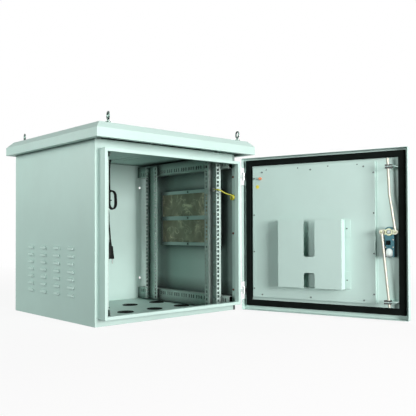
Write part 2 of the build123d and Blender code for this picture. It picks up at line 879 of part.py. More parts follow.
def cord_radii(points):
    """The largest arc radius that each corner of a cord's route has room for."""
    radii = []
    for before, here, after in zip(points, points[1:], points[2:]):
        run_in = Vector(*here) - Vector(*before)
        run_out = Vector(*after) - Vector(*here)
        half_turn = math.radians(run_in.get_angle(run_out)) / 2
        radii.append(0.45 * min(run_in.length, run_out.length) / math.tan(half_turn))
    return radii


def cord_tube(points, radius, name):
    """Sweeps a cord's round section along its route and writes it."""
    radii = cord_radii(points)
    with BuildPart() as tube:
        with BuildLine() as route:
            FilletPolyline(*points, radius=radii)
        path = route.wires()[0]
        with BuildSketch(Plane(origin=path @ 0, z_dir=path % 0)):
            Circle(radius)
        sweep(path=path)
    expected = math.pi * radius**2 * path.length
    print(name, "radii", [round(value, 1) for value in radii], "length", round(path.length, 1))
    print(name, "volume ratio", round(tube.part.volume / expected, 4))
    save(tube, name)


cord_tube(tail_route, lead_r, "mains_lead_tail")

plug_x, plug_y = tail_route[-1][:2]
plug_top = tail_route[-1][2] - 0.5
with BuildPart() as mains_plug:
    with BuildSketch(Plane.XY.offset(plug_top - plug_height)):
        with Locations((plug_x, plug_y)):
            RectangleRounded(plug_width, plug_depth, plug_corner)
    with BuildSketch(Plane.XY.offset(plug_top)):
        with Locations((plug_x, plug_y)):
            RectangleRounded(plug_neck_width, plug_neck_width, plug_corner)
    loft()
save(mains_plug, "mains_plug")

with BuildPart() as plug_pins:
    with BuildSketch(Plane.XY.offset(plug_top - plug_height - pin_length)):
        with Locations((plug_x - pin_pitch / 2, plug_y), (plug_x + pin_pitch / 2, plug_y)):
            Circle(pin_r)
    extrude(amount=pin_length)
save(plug_pins, "plug_pins")

# Earth lead: terminal bolted to the upright's web, lead round the flange, coil on the frame
earth_x = web_x - upright_thick
earth_z = low_slot_z + earth_slot_index * unit
away = (math.cos(math.radians(earth_turn)), math.sin(math.radians(earth_turn)), 0)
earth_mid_x = earth_x - terminal_crimp_r
with BuildPart() as earth_terminal:
    with BuildSketch(side_plane(earth_x)):
        with Locations((bolt_y, earth_z)):
            Circle(terminal_r)
            Circle(bolt_r, mode=Mode.SUBTRACT)
    extrude(amount=-terminal_thick)
    crimp_start = (earth_mid_x, bolt_y - terminal_r - 1, earth_z)
    with BuildSketch(Plane(origin=crimp_start, z_dir=away)):
        Circle(terminal_crimp_r)
    extrude(amount=terminal_reach - terminal_r)
    block(
        (earth_x - terminal_thick, earth_x),
        (bolt_y - terminal_r - 5, bolt_y - terminal_r + 2.5),
        (earth_z - 2.5, earth_z + 2.5),
    )
save(earth_terminal, "earth_terminal")

with BuildPart() as earth_bolt:
    with BuildSketch(side_plane(earth_x - terminal_thick)):
        with Locations((bolt_y, earth_z)):
            RegularPolygon(bolt_head_r, 6)
    extrude(amount=-bolt_head)
    with BuildSketch(side_plane(earth_x - terminal_thick)):
        with Locations((bolt_y, earth_z)):
            Circle(bolt_r - 0.05)
    extrude(amount=terminal_thick + upright_thick + bolt_nut)
    with BuildSketch(side_plane(web_x)):
        with Locations((bolt_y, earth_z)):
            RegularPolygon(bolt_nut_r, 6)
    extrude(amount=bolt_nut)
save(earth_bolt, "earth_bolt")

crimp_end = tuple(
    start + step * (terminal_reach - terminal_r + 0.3) for start, step in zip(crimp_start, away)
)
coil_left = frame_outer_x - sheet - earth_nut - earth_coil_length
earth_coil_y = upright_front_y - earth_coil_from_flange
earth_coil_z = earth_z - earth_coil_drop
earth_route = [(web_x + dx, upright_front_y + dy, earth_z + dz) for dx, dy, dz in earth_steps]
earth_points = [crimp_end] + earth_route + [(coil_left - 1.2, earth_coil_y, earth_coil_z)]
cord_tube(earth_points, earth_r, "earth_lead")

with BuildPart() as earth_lead_coil:
    with BuildSketch(side_plane(coil_left)):
        with Locations((earth_coil_y, earth_coil_z)):
            Circle(earth_coil_r)
    extrude(amount=earth_coil_length)
save(earth_lead_coil, "earth_lead_coil")

with BuildPart() as earth_stud:
    with BuildSketch(side_plane(coil_left + earth_coil_length)):
        with Locations((earth_coil_y, earth_coil_z)):
            RegularPolygon(earth_nut_r, 6)
    extrude(amount=earth_nut)
save(earth_stud, "earth_stud")

# Door frame of reference: s runs from the hinge edge along the door, height goes
# from the outer skin towards the inside, and both follow the door as it stands open
hinge_pin_y = frame_front_y - gasket_seat + hinge_pin_from_face
door_skin_y = frame_front_y - gasket_seat
hinge_edge_x = door_width / 2
swing = math.radians(door_open_angle)
along_door = (-math.cos(swing), -math.sin(swing), 0)
into_door = (-math.sin(swing), math.cos(swing), 0)
edge_x = hinge_edge_x - hinge_pin_x
edge_y = door_skin_y - hinge_pin_y
door_corner_x = hinge_pin_x + edge_x * math.cos(swing) - edge_y * math.sin(swing)
door_corner_y = hinge_pin_y + edge_x * math.sin(swing) + edge_y * math.cos(swing)


def door_point(s, height, z=0.0):
    """The place of a point given along the door, above its skin and above the ground."""
    return (
        door_corner_x + s * along_door[0] + height * into_door[0],
        door_corner_y + s * along_door[1] + height * into_door[1],
        z,
    )


def door_plane(height):
    """A plane in the door, with local x along the door, local y up and its normal inwards."""
    return Plane(origin=door_point(0, height), x_dir=along_door, z_dir=into_door)


def door_level(z):
    """A level plane, with local x along the door, local y inwards and its normal downwards."""
    return Plane(origin=door_point(0, 0, z), x_dir=along_door, z_dir=(0, 0, -1))


def door_block(s_range, z_range, height_range, mode=Mode.ADD):
    """Adds or cuts a box given in the door's own directions."""
    with BuildSketch(door_plane(height_range[0])) as outline:
        with Locations((sum(s_range) / 2, sum(z_range) / 2)):
            Rectangle(abs(s_range[1] - s_range[0]), abs(z_range[1] - z_range[0]))
    extrude(outline.sketch, amount=height_range[1] - height_range[0], mode=mode)


hinge_zs = (hinge_low_z, hinge_high_z)
spindle_bore = spindle_r + spindle_clearance
cylinder_z = lock_z - cylinder_below
cylinder_bore = cylinder_r + spindle_clearance

# Door shell: one folded pan, notched at the hinges and drilled for the lock
with BuildPart() as door_shell:
    door_block((0, door_width), (door_bottom, door_top), (0, door_depth))
    pan_corners = door_shell.edges().filter_by(Axis(door_point(0, 0), into_door))
    fillet(pan_corners, 2 * sheet)
    door_block(
        (sheet, door_width - sheet),
        (door_bottom + sheet, door_top - sheet),
        (sheet, door_depth),
        mode=Mode.SUBTRACT,
    )
    for z in hinge_zs:
        door_block(
            (-1, sheet),
            (z - hinge_notch_half, z + hinge_notch_half),
            (hinge_notch_floor, door_depth),
            mode=Mode.SUBTRACT,
        )
    with BuildSketch(door_plane(0)):
        with Locations((lock_s, lock_z)):
            Circle(spindle_bore)
        with Locations((lock_s, cylinder_z)):
            Circle(cylinder_bore)
    extrude(amount=sheet, mode=Mode.SUBTRACT)
save(door_shell, "door_shell")

# Door gasket, in line with the raised frame's face
gasket_height = gasket_seat - gasket_gap
gasket_half = frame_outer_x + gasket_margin
gasket_s = hinge_edge_x
gasket_mid = (frame_bottom + frame_top) / 2
gasket_tall = frame_top - frame_bottom + 2 * gasket_margin
with BuildPart() as door_gasket:
    with BuildSketch(door_plane(sheet)):
        with Locations((gasket_s, gasket_mid)):
            RectangleRounded(2 * gasket_half, gasket_tall, 3)
            Rectangle(
                2 * (gasket_half - gasket_width),
                gasket_tall - 2 * gasket_width,
                mode=Mode.SUBTRACT,
            )
    extrude(amount=gasket_height - sheet)
save(door_gasket, "door_gasket")

# Hinges: frame leaves with the middle knuckle, door leaves with the outer ones, and pins
foot_y = (frame_front_y + 4, frame_front_y + 4 + hinge_leaf_length)
with BuildPart() as hinge_frame_leaves:
    for z in hinge_zs:
        with BuildSketch(Plane.XY.offset(z - hinge_knuckle_half)):
            with Locations((hinge_pin_x, hinge_pin_y)):
                Circle(hinge_knuckle_r)
            with BuildLine():
                Polyline(
                    (frame_outer_x, foot_y[0]),
                    (hinge_pin_x - 1, hinge_pin_y - hinge_arm / 2),
                    (hinge_pin_x + 1, hinge_pin_y + hinge_arm / 2),
                    (frame_outer_x + hinge_leaf, foot_y[0] + 1.6 * hinge_arm),
                    (frame_outer_x, foot_y[0] + 1.6 * hinge_arm),
                    close=True,
                )
            make_face()
            with Locations((hinge_pin_x, hinge_pin_y)):
                Circle(hinge_pin_r + hinge_running_gap, mode=Mode.SUBTRACT)
        extrude(amount=2 * hinge_knuckle_half)
        block(
            (frame_outer_x, frame_outer_x + hinge_leaf),
            foot_y,
            (z - hinge_knuckle_half - 8, z + hinge_knuckle_half + 8),
        )
save(hinge_frame_leaves, "hinge_frame_leaves")

pin_s, pin_height = hinge_edge_x - hinge_pin_x, hinge_pin_from_face
outer_start = hinge_knuckle_half + hinge_knuckle_gap
outer_end = outer_start + hinge_outer_knuckle
with BuildPart() as hinge_door_leaves:
    for z in hinge_zs:
        for low, high in ((z - outer_end, z - outer_start), (z + outer_start, z + outer_end)):
            with BuildSketch(door_level(high)):
                with Locations((pin_s, pin_height)):
                    Circle(hinge_knuckle_r)
                with Locations((sheet + 0.3 + hinge_arm / 2, (pin_height + sheet) / 2)):
                    Rectangle(hinge_arm, pin_height - sheet)
                with Locations((pin_s, pin_height)):
                    Circle(hinge_pin_r + 0.4 * hinge_running_gap, mode=Mode.SUBTRACT)
            extrude(amount=high - low)
        door_block(
            (sheet + 0.3, sheet + 0.3 + hinge_foot_width),
            (z - outer_end, z + outer_end),
            (sheet, sheet + hinge_leaf),
        )
save(hinge_door_leaves, "hinge_door_leaves")

with BuildPart() as hinge_pins:
    for z in hinge_zs:
        with BuildSketch(Plane.XY.offset(z - outer_end)):
            with Locations((hinge_pin_x, hinge_pin_y)):
                Circle(hinge_pin_r)
        extrude(amount=2 * outer_end)
save(hinge_pins, "hinge_pins")

# Inner panel of the door: a shallow tray with a lip at its free side
liner_face = sheet + liner_height
with BuildPart() as door_liner:
    door_block((liner_left, liner_right), (liner_bottom, liner_top), (sheet, liner_face))
    door_block(
        (liner_left + liner_skin, liner_right - liner_skin),
        (liner_bottom + liner_skin, liner_top - liner_skin),
        (sheet, liner_face - liner_skin),
        mode=Mode.SUBTRACT,
    )
    door_block(
        (liner_right - liner_skin, liner_right + liner_lip),
        (liner_bottom, liner_top),
        (sheet, sheet + liner_skin),
    )
save(door_liner, "door_liner")

liner_screw_places = [
    (s, liner_bottom + 30 + k * (liner_top - liner_bottom - 67) / 3)
    for s in (liner_left + 5, liner_right - 4)
    for k in range(4)
]
liner_screw_places += [
    (s, z)
    for s in (liner_left + 37, (liner_left + liner_right) / 2, liner_right - 37)
    for z in (liner_bottom + 9, liner_top - 16)
]
rivet_places = [(liner_left + share * (liner_right - liner_left), liner_top - 8) for share in liner_rivets]
tab_low_z = pocket_bottom + 1 + pocket_tab_height / 2
tab_high_z = pocket_top - 1.5 - pocket_tab_height / 2
pocket_screw_places = [
    (s, z)
    for s in (pocket_left - 0.4 * pocket_tab, pocket_right + 0.4 * pocket_tab)
    for z in (tab_low_z, tab_high_z)
]

# Document pocket: one folded sheet with side tabs and two finger slots in its front
pocket_face = liner_face + pocket_depth
pocket_mid = (pocket_left + pocket_right) / 2
with BuildPart() as document_pocket:
    door_block((pocket_left, pocket_right), (pocket_bottom, pocket_top), (liner_face, pocket_face))
    door_block(
        (pocket_left + pocket_skin, pocket_right - pocket_skin),
        (pocket_bottom + pocket_skin, pocket_top),
        (liner_face, pocket_face - pocket_skin),
        mode=Mode.SUBTRACT,
    )
    with BuildSketch(door_plane(pocket_face - pocket_skin)):
        upper_height = pocket_top - pocket_upper_slot_floor
        with Locations((pocket_mid, pocket_upper_slot_floor + upper_height / 2 + pocket_slot_corner)):
            RectangleRounded(pocket_slot_width, upper_height + 2 * pocket_slot_corner, pocket_slot_corner)
    extrude(amount=pocket_skin, mode=Mode.SUBTRACT)
    lower_height = pocket_lower_slot_top - pocket_bottom
    with BuildSketch(door_plane(pocket_face - pocket_skin)):
        with Locations((pocket_mid, pocket_lower_slot_top - lower_height / 2 - pocket_slot_corner)):
            RectangleRounded(pocket_slot_width, lower_height + 2 * pocket_slot_corner, pocket_slot_corner)
    extrude(amount=pocket_skin, mode=Mode.SUBTRACT)
    door_block(
        (pocket_mid - pocket_slot_width / 2, pocket_mid + pocket_slot_width / 2),
        (pocket_bottom, pocket_bottom + pocket_skin),
        (pocket_face - 2 * pocket_slot_corner, pocket_face),
        mode=Mode.SUBTRACT,
    )
    for z in (tab_low_z, tab_high_z):
        for s_range in (
            (pocket_left - pocket_tab, pocket_left + pocket_skin),
            (pocket_right - pocket_skin, pocket_right + pocket_tab),
        ):
            door_block(
                s_range,
                (z - pocket_tab_height / 2, z + pocket_tab_height / 2),
                (liner_face, liner_face + pocket_skin),
            )
save(document_pocket, "document_pocket")

# Screws of the inner panel and the pocket, all alike
with BuildPart() as door_panel_screws:
    with BuildSketch(door_plane(liner_face)):
        with Locations(*liner_screw_places):
            Circle(screw_r)
    extrude(amount=screw_head)
    with BuildSketch(door_plane(liner_face)):
        with Locations(*rivet_places):
            Circle(rivet_r)
    extrude(amount=rivet_head)
    with BuildSketch(door_plane(liner_face + pocket_skin)):
        with Locations(*pocket_screw_places):
            Circle(screw_r)
    extrude(amount=screw_head)
save(door_panel_screws, "door_panel_screws")

with BuildPart() as door_earth_stud:
    with BuildSketch(door_plane(liner_face)):
        with Locations((door_stud_s, door_stud_z)):
            RegularPolygon(door_stud_nut_r, 6)
    extrude(amount=door_stud_nut)
    with BuildSketch(door_plane(liner_face)):
        with Locations((door_stud_s, door_stud_z)):
            Circle(door_stud_r)
    extrude(amount=door_stud_length)
save(door_earth_stud, "door_earth_stud")

# Lock body on the inside of the skin, round at the top
lock_face = sheet + lock_height
with BuildPart() as lock_body:
    with BuildSketch(door_plane(sheet)):
        with Locations((lock_s, lock_z - (lock_below - lock_above + lock_width / 2) / 2)):
            Rectangle(lock_width, lock_below + lock_above - lock_width / 2)
        with Locations((lock_s, lock_z + lock_above - lock_width / 2)):
            Circle(lock_width / 2)
        with Locations((lock_s, lock_z)):
            Circle(spindle_bore, mode=Mode.SUBTRACT)
        with Locations((lock_s, cylinder_z)):
            Circle(cylinder_bore, mode=Mode.SUBTRACT)
    extrude(amount=lock_height)
    with BuildSketch(door_plane(lock_face - lock_window_depth)):
        with Locations((lock_s - lock_window_left, lock_z - lock_window_below)):
            Rectangle(lock_window_width, lock_window_height)
    extrude(amount=lock_window_depth, mode=Mode.SUBTRACT)
save(lock_body, "lock_body")

# Escutcheon on the outside of the door
with BuildPart() as handle_escutcheon:
    with BuildSketch(door_plane(-escutcheon_thick)):
        with Locations((lock_s, lock_z + escutcheon_above - escutcheon_length / 2)):
            SlotOverall(escutcheon_length, escutcheon_width, rotation=90)
        with Locations((lock_s, lock_z)):
            Circle(spindle_bore, mode=Mode.SUBTRACT)
        with Locations((lock_s, cylinder_z)):
            Circle(cylinder_bore, mode=Mode.SUBTRACT)
    extrude(amount=escutcheon_thick)
    rim_face = handle_escutcheon.faces().sort_by(Axis(door_point(0, 0), into_door))[0]
    fillet(rim_face.outer_wire().edges(), 2)
save(handle_escutcheon, "handle_escutcheon")

# Key cylinder, from the escutcheon's face to a small cam on the inside
with BuildPart() as key_cylinder:
    with BuildSketch(door_plane(-escutcheon_thick)):
        with Locations((lock_s, cylinder_z)):
            Circle(cylinder_r)
    extrude(amount=escutcheon_thick + lock_face + cylinder_cam)
    door_block(
        (lock_s - 1, lock_s + 1),
        (cylinder_z - 4, cylinder_z + 4),
        (-escutcheon_thick, -escutcheon_thick + 5),
        mode=Mode.SUBTRACT,
    )
    door_block(
        (lock_s - cylinder_r, lock_s - 0.15 * cylinder_r),
        (cylinder_z - cylinder_r, cylinder_z + cylinder_r),
        (lock_face + 0.3 * cylinder_cam, lock_face + cylinder_cam),
        mode=Mode.SUBTRACT,
    )
save(key_cylinder, "key_cylinder")

# Handle spindle: outer hub with the lever's slot, round shank and square inner end.
# The door is unlocked, so the lever lies level and points to the hinges.
cam_floor = lock_face + cam_gap
hub_low = -escutcheon_thick - handle_gap
hub_high = hub_low - handle_hub_height
lever_axis_s = lock_s - lever_pin_offset
lever_low = hub_low - 0.8
lever_mid = lever_low - lever_thick / 2
tongue_end_r = lever_thick / 2
with BuildPart() as handle_spindle:
    with BuildSketch(door_plane(hub_high)):
        with Locations((lock_s, lock_z)):
            Circle(handle_hub_r)
    extrude(amount=handle_hub_height)
    door_block(
        (lock_s - handle_hub_r - 1, lever_axis_s + tongue_end_r + 1),
        (lock_z - lever_tongue / 2 - lever_slot_gap, lock_z + lever_tongue / 2 + lever_slot_gap),
        (hub_high, lever_low + 0.4),
        mode=Mode.SUBTRACT,
    )
    with BuildSketch(door_plane(hub_low)):
        with Locations((lock_s, lock_z)):
            Circle(spindle_r)
    extrude(amount=cam_floor - hub_low)
    with BuildSketch(door_plane(cam_floor)):
        with Locations((lock_s, lock_z)):
            Rectangle(spindle_square, spindle_square)
    extrude(amount=cam_thick)
    with BuildSketch(door_level(lock_z + handle_hub_r)):
        with Locations((lever_axis_s, lever_mid)):
            Circle(lever_pin_r + 0.02)
    extrude(amount=2 * handle_hub_r, mode=Mode.SUBTRACT)
save(handle_spindle, "handle_spindle")

pin_half = math.sqrt(handle_hub_r**2 - (lever_pin_offset + lever_pin_r) ** 2) - 0.4
with BuildPart() as lever_pin:
    with BuildSketch(door_level(lock_z + pin_half)):
        with Locations((lever_axis_s, lever_mid)):
            Circle(lever_pin_r)
    extrude(amount=2 * pin_half)
save(lever_pin, "lever_pin")

# Swing lever: tongue on the pin, grip, and the opening over the key cylinder
lever_tip = lever_length - lever_width / 2
with BuildPart() as swing_lever:
    with BuildSketch(door_level(lock_z + lever_tongue / 2)):
        with Locations((lever_axis_s, lever_mid)):
            Circle(tongue_end_r)
        with Locations((lever_axis_s - (lever_shoulder + 2) / 2, lever_mid)):
            Rectangle(lever_shoulder + 2, lever_thick)
    extrude(amount=lever_tongue)
    with BuildSketch(door_plane(lever_low - lever_thick)):
        with Locations((lock_s - (lever_shoulder + lever_tip) / 2, lock_z)):
            Rectangle(lever_tip - lever_shoulder, lever_width)
        with Locations((lock_s - lever_tip, lock_z)):
            Circle(lever_width / 2)
        with Locations((lock_s - cylinder_below, lock_z)):
            Circle(cylinder_r + 0.6, mode=Mode.SUBTRACT)
    extrude(amount=lever_thick)
    with BuildSketch(door_level(lock_z + lever_width)):
        with Locations((lever_axis_s, lever_mid)):
            Circle(lever_pin_r + spindle_clearance)
    extrude(amount=2 * lever_width, mode=Mode.SUBTRACT)
save(swing_lever, "swing_lever")

# Lock cam with a pin at each arm's end, and the screw that holds it
cam_face = cam_floor + cam_thick
rod_floor = cam_face + rod_lift
rod_mid = rod_floor + rod_r
with BuildPart() as lock_cam:
    with BuildSketch(door_plane(cam_floor)):
        with Locations((lock_s, lock_z)):
            Circle(cam_hub_r)
            Rectangle(2 * cam_arm, 2 * cam_end_r)
        with Locations((lock_s - cam_arm, lock_z), (lock_s + cam_arm, lock_z)):
            Circle(cam_end_r)
        with Locations((lock_s, lock_z)):
            Rectangle(spindle_square, spindle_square, mode=Mode.SUBTRACT)
    extrude(amount=cam_thick)
    with BuildSketch(door_plane(cam_floor)):
        with Locations((lock_s - cam_arm, lock_z), (lock_s + cam_arm, lock_z)):
            Circle(cam_pin_r)
    extrude(amount=cam_thick + rod_lift + 2 * rod_r + 1.0)
save(lock_cam, "lock_cam")

with BuildPart() as cam_screw:
    with BuildSketch(door_plane(cam_face)):
        with Locations((lock_s, lock_z)):
            RegularPolygon(cam_screw_r, 6)
    extrude(amount=cam_screw_head)
save(cam_screw, "cam_screw")

# Lock rods. Each hangs on a cam pin and runs through its guide, so it leans while the
# arms lie level and stands straight behind the frame's lip when the door is locked.
# The upper rod is cranked: its upper length is nearly upright while the door is open.
def rod_places(way, guide_z):
    """The pivot, the crank and the point at the guide of a rod, at rest."""
    pivot = (lock_s + way * cam_arm, lock_z)
    guide = (lock_s, guide_z)
    if way < 0:
        share = (pivot[0] - guide[0]) / (pivot[1] - guide[1])
        crank_z = pivot[1] + rod_crank * (guide[1] - pivot[1])
        return pivot, (pivot[0] + share * (crank_z - pivot[1]), crank_z), guide
    crank_z = pivot[1] + rod_crank * (guide[1] - pivot[1])
    return pivot, (guide[0] + rod_crank_lean * (guide[1] - crank_z), crank_z), guide


def rod_segment(start, end):
    """Adds one straight length of a rod between two points of the door's face."""
    run = (end[0] - start[0], end[1] - start[1])
    world = (run[0] * along_door[0], run[0] * along_door[1], run[1])
    with BuildSketch(Plane(origin=door_point(start[0], rod_mid, start[1]), z_dir=world)) as section:
        Circle(rod_r)
    extrude(section.sketch, amount=math.hypot(*run))


rods = {
    "lock_rod_upper": (1, upper_guide_z, frame_top - sheet - rod_end_gap),
    "lock_rod_lower": (-1, lower_guide_z, frame_bottom + sheet + rod_end_gap),
}
for name, (way, guide_z, locked_end) in rods.items():
    pivot, crank, guide = rod_places(way, guide_z)
    slope = (guide[0] - crank[0]) / (guide[1] - crank[1])
    end_z = locked_end - way * cam_arm
    end = (guide[0] + slope * (end_z - guide[1]), end_z)
    locked_reach = abs(guide_z - lock_z) - cam_arm
    locked_side = abs(crank[0] + slope * (lock_z + way * locked_reach - crank[1]) - pivot[0])
    lean = math.degrees(math.atan2(locked_side, locked_reach))
    with BuildPart() as rod:
        rod_segment(pivot, crank)
        rod_segment(crank, end)
        with Locations(door_point(crank[0], rod_mid, crank[1])):
            Sphere(rod_r)
        with BuildSketch(door_plane(rod_floor + rod_eye_step)):
            with Locations(pivot):
                Circle(rod_eye_r)
        extrude(amount=2 * (rod_r - rod_eye_step))
        with BuildSketch(door_plane(rod_floor)):
            with Locations(pivot):
                Circle(cam_pin_r + rod_bore_clearance)
        extrude(amount=2 * rod_r, mode=Mode.SUBTRACT)
    save(rod, name)
    print(name, "lean", round(lean, 4), "ratio", round(-(90 + lean) / 90, 6))

# Rod guides: a foot on the skin and a slotted plate, with a plastic bush in each slot
slot_face = rod_mid + rod_r + guide_side_gap
guide_front = slot_face + bush_wall + guide_skin
guides = []
for z, way in ((upper_guide_z, 1), (lower_guide_z, -1)):
    low_side = rod_r + guide_side_gap + (guide_mid_travel if way < 0 else 0)
    high_side = rod_r + guide_side_gap + (guide_mid_travel if way > 0 else 0)
    guides.append((z, lock_s - low_side, lock_s + high_side))
with BuildPart() as rod_guides:
    for z, slot_low, slot_high in guides:
        top = z + guide_skin / 2
        s_range = (slot_low - bush_wall - guide_skin, lock_s + guide_right)
        door_block(s_range, (top - guide_skin, top), (sheet, guide_front))
        door_block(s_range, (top - guide_foot, top), (sheet, sheet + guide_skin))
        door_block(
            (slot_low - bush_wall, slot_high + bush_wall),
            (top - guide_skin, top),
            (rod_floor - guide_side_gap - bush_wall, slot_face + bush_wall),
            mode=Mode.SUBTRACT,
        )
save(rod_guides, "rod_guides")

with BuildPart() as rod_bushes:
    for z, slot_low, slot_high in guides:
        heights = (rod_floor - guide_side_gap - bush_wall, slot_face + bush_wall)
        door_block(
            (slot_low - bush_wall, slot_high + bush_wall),
            (z - bush_height / 2, z + bush_height / 2),
            heights,
        )
        door_block(
            (slot_low, slot_high),
            (z - bush_height / 2, z + bush_height / 2),
            (heights[0] + bush_wall, heights[1] - bush_wall),
            mode=Mode.SUBTRACT,
        )
save(rod_bushes, "rod_bushes")

for label, values in (
    ("hinge pin", (hinge_pin_x, hinge_pin_y, 0)),
    ("along door", along_door),
    ("into door", into_door),
    ("lock spindle", door_point(lock_s, 0, lock_z)),
    ("key cylinder", door_point(lock_s, 0, cylinder_z)),
    ("lever pin", door_point(lever_axis_s, lever_mid, lock_z)),
    ("upper rod pivot", door_point(lock_s + cam_arm, 0, lock_z)),
    ("lower rod pivot", door_point(lock_s - cam_arm, 0, lock_z)),
):
    print(label, tuple(round(value, 4) for value in values))
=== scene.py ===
"""Roadside utility cabinet with an open door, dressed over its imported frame.

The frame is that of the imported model: +X to the right of somebody facing the door opening,
+Y into the cabinet, +Z up, origin under the body's middle. Lengths are in metres, apart from
places on the sheet steel, which are in millimetres as on a drawing and scaled by MM.
"""

from __future__ import annotations

import logging
import math
from dataclasses import dataclass, replace
from enum import Enum
from typing import Callable, Sequence

import bmesh
import bpy
from mathutils import Matrix, Vector

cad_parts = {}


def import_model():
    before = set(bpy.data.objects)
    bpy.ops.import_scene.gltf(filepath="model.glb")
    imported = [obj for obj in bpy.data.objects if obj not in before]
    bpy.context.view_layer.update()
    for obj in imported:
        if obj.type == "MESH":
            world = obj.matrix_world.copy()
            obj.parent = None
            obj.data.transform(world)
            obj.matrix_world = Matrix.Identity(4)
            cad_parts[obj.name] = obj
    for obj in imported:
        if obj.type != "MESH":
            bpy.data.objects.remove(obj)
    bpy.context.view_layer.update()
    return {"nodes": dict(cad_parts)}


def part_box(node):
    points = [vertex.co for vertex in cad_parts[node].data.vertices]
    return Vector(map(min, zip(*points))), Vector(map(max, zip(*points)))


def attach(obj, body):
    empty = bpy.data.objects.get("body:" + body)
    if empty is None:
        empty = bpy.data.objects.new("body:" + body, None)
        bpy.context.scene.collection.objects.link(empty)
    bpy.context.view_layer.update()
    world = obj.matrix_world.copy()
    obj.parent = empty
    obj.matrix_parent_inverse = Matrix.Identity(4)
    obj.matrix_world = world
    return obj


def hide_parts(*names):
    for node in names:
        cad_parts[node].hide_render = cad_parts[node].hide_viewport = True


log = logging.getLogger("utility_cabinet")

Point = tuple[float, float, float]
Place = tuple[float, float]
Colour = tuple[float, float, float]
Piece = bpy.types.Object
Socket = bpy.types.NodeSocket

MM = 0.001
IMAGE_WIDTH = 416
SENSOR_WIDTH = 36.0

CABINET = "cabinet"
DOOR = "door"
HANDLE = "handle"


@dataclass(frozen=True)
class Web:
    """A node tree, with short ways to add to it."""

    tree: bpy.types.NodeTree

    def add(
        self, kind: str, inputs: dict[str | int, object] | None = None, **settings: object
    ) -> bpy.types.Node:
        """Adds a node.

        Args:
            kind: Blender's name of the node's type.
            inputs: Values of its inputs, by name or number.
            settings: Values of its other settings.

        Returns:
            The new node.
        """
        node = self.tree.nodes.new(kind)
        for name, value in settings.items():
            setattr(node, name, value)
        for name, value in (inputs or {}).items():
            node.inputs[name].default_value = value
        return node

    def join(self, source: Socket, target: Socket) -> None:
        """Links an output to an input."""
        self.tree.links.new(source, target)

    def noise(self, place: Socket, scale: float, detail: float, distortion: float = 0.0) -> Socket:
        """Adds a noise.

        Args:
            place: The coordinates that it reads.
            scale: Cycles a metre.
            detail: Number of octaves.
            distortion: How far it is drawn out of shape.

        Returns:
            Its value.
        """
        inputs = {"Scale": scale, "Detail": detail, "Distortion": distortion}
        texture = self.add("ShaderNodeTexNoise", inputs)
        self.join(place, texture.inputs["Vector"])
        return texture.outputs["Fac"]

    def scaled_sum(self, value: Socket, factor: float, base: Socket) -> Socket:
        """Multiplies a value and adds it to another.

        Args:
            value: The value that is multiplied.
            factor: What it is multiplied by.
            base: The value that it is added to.

        Returns:
            The sum.
        """
        node = self.add("ShaderNodeMath", {1: factor}, operation="MULTIPLY_ADD")
        self.join(value, node.inputs[0])
        self.join(base, node.inputs[2])
        return node.outputs["Value"]

    def ramp(self, value: Socket, stops: Sequence[tuple[float, Colour]]) -> Socket:
        """Turns a value into a colour.

        Args:
            value: The value.
            stops: Pairs of a value and its colour, in order.

        Returns:
            The colour.
        """
        node = self.add("ShaderNodeValToRGB")
        elements = node.color_ramp.elements
        for element, (level, colour) in zip(elements, (stops[0], stops[-1])):
            element.position = level
            element.color = (*colour, 1.0)
        for level, colour in stops[1:-1]:
            elements.new(level).color = (*colour, 1.0)
        self.join(value, node.inputs["Fac"])
        return node.outputs["Color"]


class Pattern(Enum):
    """The fine structure of a finish."""

    GRAIN = "grain"
    SPANGLE = "spangle"
    BRUSHED = "brushed"
    FIBRE = "fibre"


